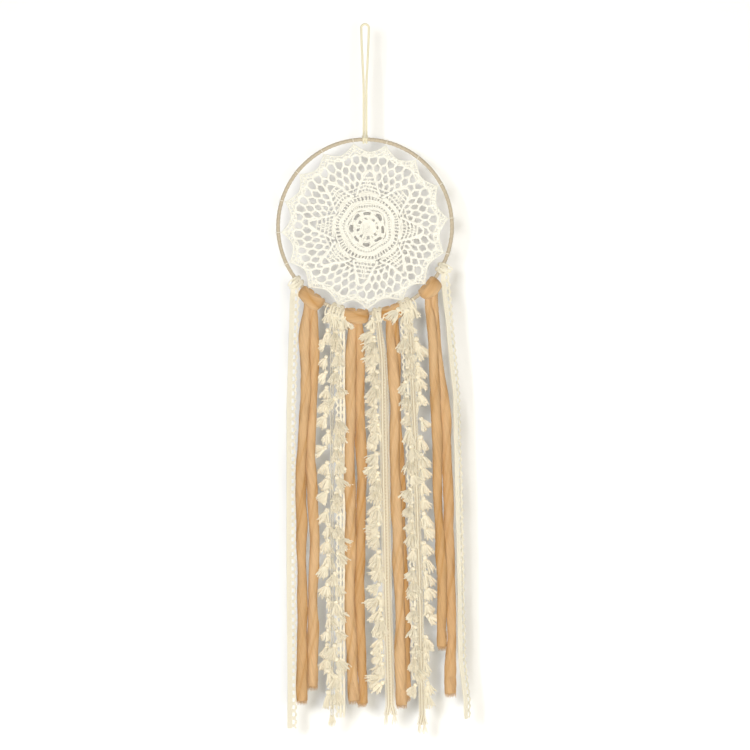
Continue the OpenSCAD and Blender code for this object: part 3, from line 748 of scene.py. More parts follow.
# A lamp behind the wall: place, size and power
ROOM_BACK = ((0.3, 1.9, 0.2), 1.4, 13)
LAMPS_LOOK_AT = (0, 0, -0.4)
# The wall stands past the reach of the strands
WALL_Y = 0.68
WALL_SIZE = 6
FLOOR_Z = -1.6
FLOOR_SIZE = 60
FLOOR_GLOW = 0.7
PAINTS = ((0.94, 0.93, 0.9, 1), (0.925, 0.915, 0.885, 1))
SKY_LIGHT = 0.15
SKY_COLOUR = (1.0, 0.92, 0.78, 1)


class DreamCatcherStage(bpy.types.Operator):
    """Sets the camera, the lights, the wall and the floor"""

    bl_idname = "dream_catcher.stage"
    bl_label = "Stage"

    def execute(self, context):
        scene = context.scene
        scene.view_settings.view_transform = "Standard"
        camera = bpy.data.objects.new("Camera", bpy.data.cameras.new("Camera"))
        camera.data.lens = LENS
        camera.data.sensor_width = SENSOR
        camera.location = CAMERA
        camera.rotation_euler = (math.pi / 2, 0, 0)
        scene.collection.objects.link(camera)
        scene.camera = camera
        for name, aside, rise, power, colour in WINDOWS:
            window = self.lamp(name, (CAMERA[0] + aside, CAMERA[1], CAMERA[2] + rise), WINDOW_SIZE, power)
            window.color = colour
            window.use_nodes = True
            tree = window.node_tree
            steady = add_node(tree, "ShaderNodeLightFalloff", {"Strength": 1.0}).outputs["Constant"]
            tree.links.new(steady, tree.nodes["Emission"].inputs["Strength"])
        self.lamp("Room Back", *ROOM_BACK)
        self.sky(scene)
        wall_z = FLOOR_Z + WALL_SIZE / 2
        wall = self.plane("Wall", WALL_SIZE, (0, WALL_Y, wall_z), (math.pi / 2, 0, 0))
        wall.data.materials.append(self.paint("Wall Paint", True))
        floor = self.plane("Floor", FLOOR_SIZE, (0, 0, FLOOR_Z), (0, 0, 0))
        floor.data.materials.append(self.paint("Floor Paint", False))
        return {"FINISHED"}

    def lamp(self, name, place, size, power):
        """A square lamp that looks at the middle of the dream catcher."""
        light = bpy.data.lights.new(name, "AREA")
        light.size = size
        light.energy = power
        lamp = bpy.data.objects.new(name, light)
        lamp.location = place
        lamp.rotation_euler = (Vector(LAMPS_LOOK_AT) - Vector(place)).to_track_quat("-Z", "Y").to_euler()
        lamp.visible_camera = False
        bpy.context.scene.collection.objects.link(lamp)
        return light

    def sky(self, scene):
        """Even warm light, and plain white where the camera sees past the wall."""
        world = bpy.data.worlds.new("Studio")
        tree = empty_tree(world)
        path = add_node(tree, "ShaderNodeLightPath")
        seen = math_node(tree, "MAXIMUM", path.outputs["Is Camera Ray"], path.outputs["Is Glossy Ray"])
        seen = math_node(tree, "MAXIMUM", seen, path.outputs["Is Transmission Ray"])
        extra = math_node(tree, "MULTIPLY", seen, 1 - SKY_LIGHT)
        strength = math_node(tree, "ADD", extra, SKY_LIGHT)
        tint = mixed(tree, seen, SKY_COLOUR, (1, 1, 1, 1))
        light = add_node(tree, "ShaderNodeBackground", {"Color": tint, "Strength": strength})
        output = add_node(tree, "ShaderNodeOutputWorld")
        tree.links.new(light.outputs[0], output.inputs["Surface"])
        scene.world = world

    def plane(self, name, size, place, turn):
        """A flat square of the stage."""
        bpy.ops.mesh.primitive_plane_add(size=size, location=place, rotation=turn)
        made = bpy.context.object
        made.name = name
        return made

    def paint(self, name, open_behind):
        """White paint. The wall is open from behind, and the floor stays pale away from the lamps."""
        material = bpy.data.materials.new(name)
        tree = empty_tree(material)
        white = mixed(tree, speckle(tree, Scale=3.0), *PAINTS)
        surface = add_node(tree, "ShaderNodeBsdfDiffuse", {"Color": white})
        path = add_node(tree, "ShaderNodeLightPath")
        if open_behind:
            clear = add_node(tree, "ShaderNodeBsdfTransparent").outputs[0]
            behind = add_node(tree, "ShaderNodeNewGeometry").outputs["Backfacing"]
            through = math_node(tree, "MAXIMUM", behind, path.outputs["Is Shadow Ray"])
            surface = add_node(tree, "ShaderNodeMixShader", {0: through, 1: surface.outputs[0], 2: clear})
        else:
            glow = math_node(tree, "MULTIPLY", path.outputs["Is Camera Ray"], FLOOR_GLOW)
            pale = add_node(tree, "ShaderNodeEmission", {"Strength": glow}).outputs[0]
            surface = add_node(tree, "ShaderNodeAddShader", {0: surface.outputs[0], 1: pale})
        output = add_node(tree, "ShaderNodeOutputMaterial")
        tree.links.new(surface.outputs[0], output.inputs["Surface"])
        return material


# Hanger


# Radius of the loop's arch, and the height at which its legs close
HANGER_ARCH_R = 4.25
HANGER_CLOSE_Z = -79
# Gap between the two legs, and between the knot and the tape
HANGER_GAP = 0.2


class DreamCatcherHanger(bpy.types.Operator):
    """Makes the satin hanging loop and its knot on the hoop"""

    bl_idname = "dream_catcher.hanger"
    bl_label = "Hanger"

    def execute(self, context):
        thick = sizes()["cord_thickness"]
        satin = satin_finish("Satin Cord", colours().satin)
        foot_z = node_box("hanger_cord")[0][2]
        legs_x = thick / 2 + HANGER_GAP
        r = HANGER_ARCH_R
        turn = np.radians(np.arange(180, -1, -15))
        arch = np.stack([r * np.cos(turn), 0 * turn, thick / 2 - r + r * np.sin(turn)], axis=1)
        left = [(-legs_x, 0, foot_z), (-legs_x, 0, -100), (-legs_x, 0, HANGER_CLOSE_Z)]
        left += [(-legs_x - 0.35, 0, -62), (-2.85, 0, -39.5), (-3.9, 0, -18)]
        right = [(-x, y, z) for x, y, z in reversed(left)]
        path = curve_through(np.vstack([left, arch, right]), 1.0)
        weave = Weave(11)
        weave.tubes(path, thick / 2, 14)
        cord = weave.piece("hanger_satin_cord", satin)
        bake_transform(cord)
        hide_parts("hanger_cord")
        self.knot(thick, legs_x, satin)
        return {"FINISHED"}

    def knot(self, thick, legs_x, satin):
        """A lark's head: each leg passes under the band, goes round the hoop and comes up into the band."""
        r = TUBE_R + HANGER_GAP + thick / 2
        middle = np.array([0, 0, HOOP_Z + HOOP_R])
        top = node_box("hanger_knot")[1][2] - middle[2]
        side = [(legs_x, 0, top), (legs_x, -1.4, r + 1.4)]
        side += [(legs_x, -r, 0.4 * r), (legs_x, -0.8 * r, -0.7 * r), (legs_x + 0.1, 0.1, -r)]
        side += [(legs_x + 0.5, r, 0), (legs_x + 0.9, 0.5, r + 0.2), (legs_x + 0.8, -r - 0.7, r * 0.45)]
        side += [(legs_x * 0.8, -r - thick * 0.85, 0.35), (0, -r - thick, 0.15)]
        side = np.array(side, float)
        other = side[::-1][1:] * (-1, 1, 1)
        path = curve_through(np.vstack([side, other]), 0.4) + middle
        weave = Weave(12)
        weave.tubes(path, thick / 2, 12, facing=ACROSS + 0.02 * UP)
        knot = weave.piece("hanger_lark_knot", satin)
        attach(knot, "hanger_tie")
        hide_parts("hanger_knot")


# Wool


# How far from its hank's middle a leg starts at least, and the drop at which it has parted in full
WOOL_ARCH = 2.9
WOOL_FULL_DROP = 36
# How far a leg waves sideways, and over what length
WOOL_WAVES = ((1.7, 34), (1.6, 70))
# Radius of a leg as a share of the wool's thickness: at lengths from its top, and at most
WOOL_SWELL = ((0, 12, 24, 48, 90), (0.4, 0.4, 0.5, 0.58, 0.55))
WOOL_LIMIT = 0.62
# How much a leg flares at distances from its end
WOOL_FOOT = ((0, 8, 24), (1.06, 1.1, 1))
# How uneven a leg's radius is, and its depth as a share of its width
WOOL_UNEVEN = 0.14
WOOL_FLAT = 0.8
# Loose fibres along a leg, and how many there are at its foot
WOOL_STRAYS = {"count": 420, "reach": 22, "lift": 1.2, "thin": 0.1}
WISPS = 260
# Where the two legs of each hank hang: x and depth from its middle, and how far they part lower down
WOOL_LEGS = {
    "wool_1": (5.3, 2.4, 0.5),
    "wool_2": (5.4, 2.4, 0),
    "wool_3": (2.1, 5.2, 0),
    "wool_4": (3.4, 4.4, 2),
}
# How much shorter the legs end than the lowest strand, left and right
WOOL_TRIMS = {"wool_1": (38, 53), "wool_2": (38, 34), "wool_3": (34, 40), "wool_4": (99, 45)}
# How much wider the legs grow lower down, left and right
WOOL_SPREADS = {"wool_1": (1.0, 1.0), "wool_2": (1.06, 1.0), "wool_3": (1.04, 1.0), "wool_4": (0.95, 1.03)}
# How much painted shade each leg takes, left and right, near its knot and lower down
WOOL_LEG_SHADES = {
    "wool_1": ((0.0, 0.45), (0.25, 0.05)),
    "wool_2": ((0.0, 0.05), (0.3, 0.65)),
    "wool_3": ((0.05, 0.0), (0.5, 0.8)),
    "wool_4": ((0.1, 0.6), (0.0, 0.35)),
}
BOTTOM_Z = node_box("fringe_3_braid")[0][2]


class DreamCatcherWool(bpy.types.Operator):
    """Hangs the hanks of combed wool, two legs each"""

    bl_idname = "dream_catcher.wool"
    bl_label = "Wool"

    def execute(self, context):
        thick = sizes()["wool_thickness"]
        wool = wool_finish("Wool Roving", colours())
        for number, (strand, (x, y, part)) in enumerate(WOOL_LEGS.items()):
            for leg, side in enumerate((-1, 1)):
                weave = Weave(100 + 2 * number + leg)
                path = self.leg_path(weave, strand, side, x, y, part, WOOL_TRIMS[strand][leg])
                run = lengths(path)
                left = run[-1] - run
                radii = np.interp(run, *WOOL_SWELL) * thick
                radii = radii * (1 + WOOL_UNEVEN * wander(run, weave.rng, 26))
                radii = radii * np.interp(left, *WOOL_FOOT)
                radii = radii * np.interp(run, (60, 240), (1, WOOL_SPREADS[strand][leg]))
                radii = np.minimum(radii, WOOL_LIMIT * thick)
                # Painted shade over the whole leg
                deep = np.interp(run, (80, 220), WOOL_LEG_SHADES[strand][leg])[:, None]
                weave.roving(path, radii, flat=WOOL_FLAT, deep=deep, twist=WOOL_TWIST)
                weave.strays(path, radii, **WOOL_STRAYS)
                self.wisps(weave, path, radii)
                piece = weave.piece(strand + ("_leg_left" if side < 0 else "_leg_right"), wool)
                hang(piece)
                if leg == 0:
                    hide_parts(strand)
        return {"FINISHED"}

    def leg_path(self, weave, strand, side, x, y, part, trim):
        """The middle of one leg of wool, from inside its knot down to its end."""
        top = strand_hinge(strand)
        length = top[2] - BOTTOM_Z - trim
        drops = np.concatenate([[-17, -8, 4], np.arange(18, length - 12, 24), [length]])
        full = np.clip(drops / WOOL_FULL_DROP, 0, 1) ** 0.9
        apart = np.clip((drops - 60) / 200, 0, 1)
        start = max(WOOL_ARCH, 0.6 * x)
        xs = side * (start + (x - start) * full + part * apart) + drift(strand, drops)
        xs = xs + full * sum(reach * wander(drops, weave.rng, spacing) for reach, spacing in WOOL_WAVES)
        points = np.stack([top[0] + xs, side * y * full, top[2] - drops], axis=1)
        return curve_through(points, 1.4)

    def wisps(self, weave, path, radii):
        """Loose ends of fibre at the foot of a leg."""
        t = np.linspace(0, 1, 7)
        shape = (WISPS, 1)
        start = weave.rng.uniform(6, 22, shape)
        reach = start + weave.rng.uniform(-1, 5.5, shape)
        angle = weave.rng.uniform(0, 2 * math.pi, shape)
        side = np.sqrt(weave.rng.uniform(0.05, 1, shape))
        out = side * np.interp(t, (0, 0.5, 1), (0.98, 1.0, 1.12)) * radii[-22]
        end = path[-1]
        x = end[0] + out * np.cos(angle) + 0.5 * np.sin(5 * t + angle)
        y = end[1] + WOOL_FLAT * out * np.sin(angle)
        z = end[2] + start - reach * t
        tone_and_shade = weave.rng.uniform(0, 0.5, (WISPS, 1, 1))
        weave.tubes(np.stack([x, y, z], axis=-1), 0.34 * (1.15 - t)[:, None], 5, tone_and_shade=tone_and_shade)


# Lace


# Depths of the two layers of an outer lace, and of an inner lace, which hangs behind its braid
OUTER_DEPTHS = (-1.3, 1.3)
INNER_DEPTHS = (3.1, 4.3)
# Each lace: strand, x from the strand's middle, scalloped side, depths, how far the back layer shows,
# how much shorter it ends and how far it turns from the front, in degrees
LACES = {
    "lace_left": ("lace_left", 0, 1, OUTER_DEPTHS, -0.25, 6, 5),
    "lace_right": ("lace_right", 0, 1, OUTER_DEPTHS, -0.25, 17, 42),
    "inner_lace_left": ("fringe_1", 8.69, -1, INNER_DEPTHS, 0.25, 17, 0),
    "inner_lace_right": ("fringe_3", -7.47, -1, INNER_DEPTHS, 0.25, 60, 0),
}
# Rows of chain across a lace, and where the bars of its slots start and end
OUTER_ROWS = ((-4.4, -3.0, -1.6, -0.2), ((0.2, 3.2),))
INNER_ROWS = ((-4.5, -3.5, -0.7, 0.3), ((-3.3, -0.9), (0.5, 3.2)))
# Where the arches and the points of its edge start, and how far they reach
ARCHES_AT = (3.1, 0.9)
POINTS_AT = (3.3, 2.3)
# Where the bars of a slot stand beside each point, as shares of the pitch
BARS_AT = (-0.14, 0.0, 0.14)
# Width for which those rows are given
LACE_DRAWN_WIDTH = 10.2
LACE_ROW = {"width": 0.42, "yarn": 0.4, "pitch": 4.1, "step": 0.8, "sides": 4}
LACE_ARCH = {"width": 0.3, "yarn": 0.36, "pitch": 4.1, "step": 0.8, "sides": 4}
LACE_POINT = {"width": 0.28, "yarn": 0.4, "pitch": 2.7, "step": 0.7, "sides": 4}
LACE_BAR = {"spread": 0.3, "yarn": 0.36, "pitch": 2.2, "step": 0.6, "sides": 4}


class DreamCatcherLace(bpy.types.Operator):
    """Works the four laces, each folded into two layers"""

    bl_idname = "dream_catcher.lace"
    bl_label = "Lace"

    def execute(self, context):
        size = sizes()
        cotton = lace_cotton()
        for number, (node, (strand, x, side, depths, shift, trim, turn)) in enumerate(LACES.items()):
            for layer, depth in enumerate(depths):
                weave = Weave(200 + 2 * number + layer)
                path = self.middle(strand, x + shift * layer, depth, trim + 3 * layer)
                rows = INNER_ROWS if node.startswith("inner") else OUTER_ROWS
                scale = size["lace_width"] / LACE_DRAWN_WIDTH
                self.ribbon(weave, path, side, turn, scale, size["lace_pitch"], *rows)
                piece = weave.piece(node + ("_back" if layer else "_front"), cotton)
                hang(piece)
                if layer == 0:
                    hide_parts(node)
        return {"FINISHED"}

    def middle(self, strand, x, depth, trim):
        """The middle line of one layer, from its knot down to its end."""
        top = strand_hinge(strand)
        drops = np.arange(-KNOT_RISE, top[2] - BOTTOM_Z - trim, 1.0)
        gather = np.clip(drops / 20, 0, 1)
        into = np.clip((drops + KNOT_RISE) / (KNOT_RISE + 8), 0, 1)
        xs = top[0] + KNOTS[strand][0] + (x + drift(strand, drops) - KNOTS[strand][0]) * into
        return np.stack([xs, depth * gather, top[2] - drops], axis=1)

    def ribbon(self, weave, path, side, turn, scale, pitch, rows, slots):
        """One layer: rows of chain, rows of slots with bars between them, and a pointed edge."""
        run = lengths(path)
        open_out = scale * np.interp(run, (0, 8, 18), (0.6, 0.8, 1))
        sway = 0.25 * wander(run, weave.rng, 60)
        phase = run / pitch
        open_turn = np.radians(turn * np.clip(run / 60, 0, 1) * (1 + 0.3 * wander(run, weave.rng, 45)))
        ways = np.stack([side * np.cos(open_turn), side * np.sin(open_turn), 0 * run], axis=1)

        def line(offset, lift=0.0):
            """The path moved across the lace by an offset, which may change along it."""
            moved = path + (open_out * offset)[:, None] * ways
            moved[:, 1] += lift + sway
            return moved

        for offset in rows:
            weave.chain(line(offset), **LACE_ROW)
        point = np.abs(2 * (phase % 1) - 1)
        peak = (1 - point) ** 1.3
        weave.chain(line(ARCHES_AT[0] + ARCHES_AT[1] * peak), **LACE_ARCH)
        weave.chain(line(POINTS_AT[0] + POINTS_AT[1] * peak, -0.1), **LACE_POINT)
        for n in range(1, int(phase[-1]) + 1):
            for nudge in BARS_AT:
                at = (n + nudge) * pitch
                if at > run[-1] - 1:
                    continue
                middle = points_at(at, run, path)
                way = open_out[np.searchsorted(run, at)] * ways[np.searchsorted(run, at)]
                for slot in slots:
                    ends = middle + np.array(slot)[:, None] * way
                    weave.twist(ends, **LACE_BAR)


# Fringe


# Half the distance between the two legs of a braid: one before the other, or side by side seen edge on
BRAID_DEPTH = 1.5
EDGE_STEP = 1.2
# Width for which a braid's rows are given, and its three kinds of row
BRAID_DRAWN_WIDTH = 6
BRAID_MIDDLE = {"width": 0.5, "yarn": 0.42, "pitch": 3.2, "step": 0.7, "sides": 4, "tone_and_shade": 0.0}
# The groove rows carry painted shade, and the middle row none
BRAID_GROOVE = {"width": 0.24, "yarn": 0.3, "pitch": 3.2, "step": 0.7, "sides": 4, "tone_and_shade": 0.9}
BRAID_EDGE = {"spread": 0.22, "yarn": 0.34, "pitch": 2.3, "step": 0.4, "sides": 4}
# Where the grooves and the edges of a braid lie from its middle
GROOVE_AT = 1.35
EDGE_AT = 1.6
# Distance between the loops along the edge of a braid, and how far they stand out
PICOT = 3.6
PICOT_RISE = 1.9
# How far the legs of a flat braid part at their end, over what length, and the length of the frayed end
FORK_X = 4.8
FORK_LEN = 22
TUFT_LEN = 10
# Frayed threads at the end of a flat braid, and of one seen edge on
TUFT_THREADS = (14, 26)
# How far the back leg of the middle braid shows beside the front one
BRAID_ASIDE = 3.6
# Radius of one thread of a tassel, and of the thread that binds it
THREAD_R = 0.6
BINDING_R = 0.3
# The way that the threads of a tassel face, which hardly any of them runs along
THREAD_FACING = unit(np.array([0.3, 1.0, 0.1]))
# A tassel's neck as a share of its height, and its head's radius as a share of its width
NECK = 0.24
HEAD = 0.18
# How much of a column's tilt and lean its tassels keep, and how far they lean out besides, in degrees
TILT_SHARE = 0.8
LEAN_SHARE = 0.75
LEAN_OUT = 3
# How unevenly tassels hang: drop and depth in millimetres, tilt and lean in degrees, and their sizes
UNEVEN_DROP = 2.6
UNEVEN_DEPTH = 0.5
UNEVEN_TILT = 8
UNEVEN_LEAN = 19
TASSEL_SIZES = (0.8, 1.12)
# How far above the first bound tassel one more hangs at the knot
TOP_TASSEL = 13
# Each braid: x from its strand's middle, whether it is seen edge on, and how much shorter it ends
BRAIDS = {"fringe_1": (-0.81, True, 8), "fringe_2": (7.51, False, 10), "fringe_3": (-1.61, False, 0)}
# Each column of tassels: strand, x of its edge, depth, side, lean and tilt in degrees, first drop
COLUMNS = {
    "fringe_1_tassels_left": ("fringe_1", -2.61, 1.8, -1, 14, -18, 20),
    "fringe_1_tassels_right": ("fringe_1", 0.99, -1.8, 1, 14, 24, 20),
    "fringe_2_tassels_front": ("fringe_2", 4.51, -2.1, -1, 30, 18, 20),
    "fringe_2_tassels_back": ("fringe_2", 4.51, 2.1, -1, 30, -18, 29.75),
    "fringe_3_tassels_front": ("fringe_3", -4.14, -3.16, -1, 0, 24, 20),
    "fringe_3_tassels_back": ("fringe_3", 1.39, 2.1, 1, 14, -18, 29.75),
}
# Tassels that hang out of the knots: along the hoop, depth and outward from it, tilt and lean in degrees
KNOT_TASSELS = {
    "fringe_1_tassels_right": ((-8, -6, 3, 4, 8), (-1, -8, 6, 8, -4), (7, -6, 4, 4, -14)),
    "fringe_2_tassels_front": ((-6, -6, 4, 4, 14),),
    "fringe_3_tassels_front": ((-7, -12, 2, 0, 42), (1, -8, 6, 8, 5), (7, -6, 4, 4, -12)),
}


def tassel_threads(rng, count, size, head):
    """Threads of upright tassels that hang from the origin, and the painted shade of each, deeper the
    further inside its tassel it lies.
    """
    height = size["tassel_height"]
    neck = NECK * height
    drops = np.array([0, 0.35 * head, 0.8 * head, 1.25 * head, neck - 0.5, neck + 0.5, 1.7 * neck])
    drops = np.concatenate([drops, np.array([0.58, 0.72, 0.86, 1.0]) * height])
    widths = np.array([0.2, 0.8, 1.0, 0.96, 0.6, 0.6, 1.5, 2.0, 2.45, 2.85, 3.2]) * head - 0.3
    threads = size["tassel_threads"]
    shape = (count, threads, 1)
    fill = np.sqrt(rng.uniform(0.12, 1, shape))
    flare = rng.uniform(0.72, 1.12, shape)
    reach = rng.uniform(0.66, 1.04, shape)
    angle = rng.uniform(0, 2 * math.pi, shape) + rng.normal(0, 0.25, shape) * drops / height
    lower = np.clip((drops - neck) / (height - neck), 0, 1)
    out = fill * widths * (1 + (flare - 1) * lower)
    wave = 0.6 * lower * np.sin(drops / 2.3 + rng.uniform(0, 2 * math.pi, shape))
    x = (out + wave) * np.cos(angle)
    y = (out + wave) * np.sin(angle)
    z = -np.where(drops > neck, neck + (drops - neck) * reach, drops)
    return np.stack([x, y, z + 0 * x], axis=-1), 0.5 * (1 - fill ** 2)


def neck_threads(count, size, head):
    """Thread wound round the necks of upright tassels, one path for each."""
    neck = NECK * size["tassel_height"]
    t = np.linspace(0, 1, 34)
    angle = 2 * math.pi * 2.6 * t
    out = 0.62 * head + 0.35
    path = np.stack([out * np.cos(angle), out * np.sin(angle), -neck + 0.8 * (t - 0.5)], axis=1)
    return np.broadcast_to(path, (count, 1) + path.shape)


def lean_over(paths, tilts, leans):
    """Tilts each tassel forward or back and leans it sideways."""
    tilt = tilts[:, None, None]
    lean = leans[:, None, None]
    x, y, z = paths[..., 0], paths[..., 1], paths[..., 2]
    y, z = np.cos(tilt) * y - np.sin(tilt) * z, np.sin(tilt) * y + np.cos(tilt) * z
    x, z = np.cos(lean) * x + np.sin(lean) * z, np.cos(lean) * z - np.sin(lean) * x
    return np.stack([x, y, z], axis=-1)


class DreamCatcherFringe(bpy.types.Operator):
    """Works the three braids and binds their tassels"""

    bl_idname = "dream_catcher.fringe"
    bl_label = "Fringe"

    def execute(self, context):
        size = sizes()
        cotton = fringe_cotton()
        thread = yarn_finish("Binding Thread", colours().thread, colours().trim_shade, plies=2.0, pitch=1.0)
        hung = {strand: [] for strand in BRAIDS}
        for number, (node, column) in enumerate(COLUMNS.items()):
            hung[column[0]] += self.tassels(node, column, size, cotton, thread, 300 + number)
        for number, (strand, (x, edge_on, trim)) in enumerate(BRAIDS.items()):
            for leg, side in enumerate((-1, 1)):
                path = self.leg_path(strand, x, edge_on, trim, side)
                weave = Weave(320 + 2 * number + leg)
                self.braid(weave, path[:-TUFT_LEN], edge_on, size["braid_width"] / BRAID_DRAWN_WIDTH)
                self.tuft(weave, path[-TUFT_LEN], TUFT_THREADS[edge_on])
                piece = weave.piece(strand + "_braid" + ("_second" if leg else "_first"), cotton)
                hang(piece)
                if leg == 0:
                    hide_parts(strand + "_braid")
        return {"FINISHED"}

    def leg_path(self, strand, x, edge_on, trim, side):
        """The middle line of one leg of a braid, with a point for each millimetre."""
        top = strand_hinge(strand)
        length = top[2] - BOTTOM_Z - trim
        drops = np.arange(-KNOT_RISE, length, 1.0)
        settle = np.clip((drops + KNOT_RISE) / (KNOT_RISE + 6), 0, 1)
        xs = top[0] + KNOTS[strand][0] + (x + drift(strand, drops) - KNOTS[strand][0]) * settle
        if edge_on:
            xs = xs + side * EDGE_STEP * settle
            ys = 0 * drops
        else:
            xs = xs + side * FORK_X * np.clip((drops - length + FORK_LEN) / FORK_LEN, 0, 1)
            ys = side * BRAID_DEPTH * settle
        if strand == "fringe_2" and side > 0:
            xs = xs + BRAID_ASIDE * np.clip((drops - 6) / 60, 0, 1)
        return np.stack([xs, ys, top[2] - drops], axis=1)

    def braid(self, weave, path, edge_on, scale):
        """A chain down the middle, a groove and a looped edge on each side."""
        way = DEPTH if edge_on else ACROSS
        facing = ACROSS if edge_on else DEPTH
        run = lengths(path)
        gather = scale * np.interp(run, (0, 14), (0.6, 1))
        loop = PICOT_RISE * np.abs(np.sin(math.pi * run / PICOT))
        weave.chain(path, facing=facing, **BRAID_MIDDLE)
        for side in (-1, 1):
            weave.chain(path + (side * GROOVE_AT * gather)[:, None] * way, facing=facing, **BRAID_GROOVE)
            edge = path + (side * (EDGE_AT * gather + loop))[:, None] * way
            weave.twist(edge, facing=facing, **BRAID_EDGE)

    def tuft(self, weave, end, count):
        """Frayed threads at the cut end of a braid."""
        t = np.linspace(0, 1, 8)
        angle = weave.rng.uniform(0, 2 * math.pi, (count, 1))
        out = 0.8 + weave.rng.uniform(0.6, 2.7, (count, 1)) * t ** 1.4
        curl = 0.6 * np.sin(4 * t + 3 * angle)
        x = end[0] + out * np.cos(angle) + curl * t
        y = end[1] + 0.7 * out * np.sin(angle)
        z = end[2] + 3 - weave.rng.uniform(8, TUFT_LEN + 4, (count, 1)) * t
        weave.tubes(np.stack([x, y, z], axis=-1), 0.3 * (1.1 - 0.5 * t)[:, None], 5)

    def tassels(self, node, column, size, cotton, thread, seed):
        """One column of tassels, those out of its knot, and the threads bound round their necks."""
        strand, edge_x, depth, side, lean, tilt, first = column
        rng = np.random.default_rng(seed)
        height = size["tassel_height"]
        head = HEAD * size["tassel_width"]
        top = strand_hinge(strand)
        length = top[2] - BOTTOM_Z - BRAIDS[strand][2]
        count = int((length - FORK_LEN - first - height) / size["tassel_pitch"]) + 1
        drops = np.append(first - TOP_TASSEL, first + size["tassel_pitch"] * np.arange(count))
        count = count + 1
        offset = head * (1 - math.sin(math.radians(lean))) + 0.25
        drops = drops + rng.normal(0, UNEVEN_DROP, count)
        aside = side * (offset + rng.uniform(-0.4, 1.6, count))
        xs = top[0] + edge_x + aside + drift(strand, drops)
        ys = depth + rng.normal(0, UNEVEN_DEPTH, count)
        places = np.stack([xs, ys, top[2] - drops], axis=1)
        tilts = np.radians(-TILT_SHARE * tilt + rng.normal(0, UNEVEN_TILT, count))
        leans = np.radians(-side * (LEAN_SHARE * lean + rng.normal(LEAN_OUT, UNEVEN_LEAN, count)))
        if node in KNOT_TASSELS:
            spots = np.array(KNOT_TASSELS[node], float)
            places = np.vstack([places, on_hoop(strand, spots[:, :3])[0]])
            tilts = np.append(tilts, np.radians(spots[:, 3]))
            leans = np.append(leans, np.radians(spots[:, 4]))
            count = len(places)
        grown = rng.uniform(*TASSEL_SIZES, count)[:, None, None, None]
        weave = Weave(seed + 40)
        paths, inside = tassel_threads(rng, count, size, head)
        turned = lean_over(paths * grown, tilts, leans) + places[:, None, None]
        # Inner threads take painted shade
        tone_and_shade = inside.reshape(-1, 1, 1)
        weave.tubes(turned.reshape(-1, *turned.shape[2:]), THREAD_R, facing=THREAD_FACING, tone_and_shade=tone_and_shade)
        made = weave.piece(node.replace("tassels", "skirts"), cotton)
        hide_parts(node)
        bend_at_knot(made)
        ties = Weave(seed + 60)
        bound = lean_over(neck_threads(count, size, head) * grown, tilts, leans) + places[:, None, None]
        ties.tubes(bound.reshape(-1, *bound.shape[2:]), BINDING_R, facing=UP)
        tied = ties.piece(node.replace("tassels", "bindings"), thread)
        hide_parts(node.replace("tassels", "ties"))
        bend_at_knot(tied)
        return [made, tied]


# Hoop


# How much lower the start of a turn of tape lies than its end, and the share of a turn that rises
TAPE_STEP = 0.26
TAPE_RISE = 0.82


class DreamCatcherHoop(bpy.types.Operator):
    """Winds the tape round the hoop and finishes the wire inside it"""

    bl_idname = "dream_catcher.hoop"
    bl_label = "Hoop"

    def execute(self, context):
        turns = sizes()["tape_turns"]
        rings = 14 * turns
        sides = 24
        angle = 2 * math.pi * np.arange(rings)[:, None] / rings
        path = np.hstack([HOOP_R * np.cos(angle), 0 * angle, HOOP_Z + HOOP_R * np.sin(angle)])
        around = np.arange(sides) / sides
        step = (turns * angle / (2 * math.pi) + around) % 1
        ramp = np.clip(step / TAPE_RISE, 0, 1) - np.clip((step - TAPE_RISE) / (1 - TAPE_RISE), 0, 1)
        weave = Weave(21)
        # The tone share is painted shade, deepest where a turn starts under the end of the turn before
        weave.tubes(path, TUBE_R - TAPE_STEP * (1 - ramp), sides, closed=True, tone_and_shade=(1 - ramp) ** 3)
        tape = weave.piece("hoop_tape_winding", tape_finish("Hoop Tape", colours().tape))
        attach(tape, "hoop")
        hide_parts("hoop_wrap")
        wire = frame["nodes"]["hoop_ring"]
        wire.data.materials.clear()
        wire.data.materials.append(steel_finish("Steel Wire", colours().steel))
        return {"FINISHED"}


# Doily


TIPS = 16
LEAVES = 8
SECTOR = 360 / LEAVES
TIP_R = HOOP_R - TUBE_R - 2
SCALLOP_DEPTH = 9.5
EYELET_AT = TIP_R - 1.5
EYELET_R = 0.7
# Radii of the plain rounds in the middle
CENTRE_ROUNDS = (1.7, 3.4, 5.1, 6.8, 8.4, 13.3, 15.0, 22.3, 23.8, 27.6, 29.2, 30.8, 36.2)
CENTRE_ROW = {"width": 0.58, "yarn": 0.52}
# Tall stitches in each sector of the two wide rounds of the middle
CENTRE_POSTS = 7
# Radii of the net's rounds, and the angle between its bars in degrees
NET_ROUNDS = (49.5, 58.3, 67.0, 75.4)
NET_STEP = 7.5
# Half of the angle that is free between two leaves on each round of the net
NET_SPANS = (12, 16, 22.5, 22.5)
# How far a bar of the net reaches below and above its round, and the feet and tops of the loops over it
NET_BAR = (2.7, 2.6)
NET_LOOP = (2.7, 6.1)
# Radius at the foot of the arches round the middle of the doily, and how high they rise
CRESCENT_R = 17.6
CRESCENT_RISE = 3.0
# Radius of the arches that end the net, and how high they rise between its bars
EDGE_R = 79.6
ARCH_RISE = 2.6
# How far inside the scalloped edge its rows of chain lie
EDGE_ROWS = (0.8, 6.2)
# How far hand work pulls the stitches out of place
UNEVEN = 1.6
NET_CHAIN = {"width": 0.88, "yarn": 0.72}
EDGE_POST = {"spread": 0.44, "yarn": 0.5}
WIDE_POST = {"spread": 0.62, "yarn": 0.6}
LEAF_POST = {"spread": 0.5, "yarn": 0.56}
LEAF_ROW = {"width": 0.62, "yarn": 0.54}
TIE_THREAD = {"spread": 0.1, "yarn": 0.14, "pitch": 1.4}
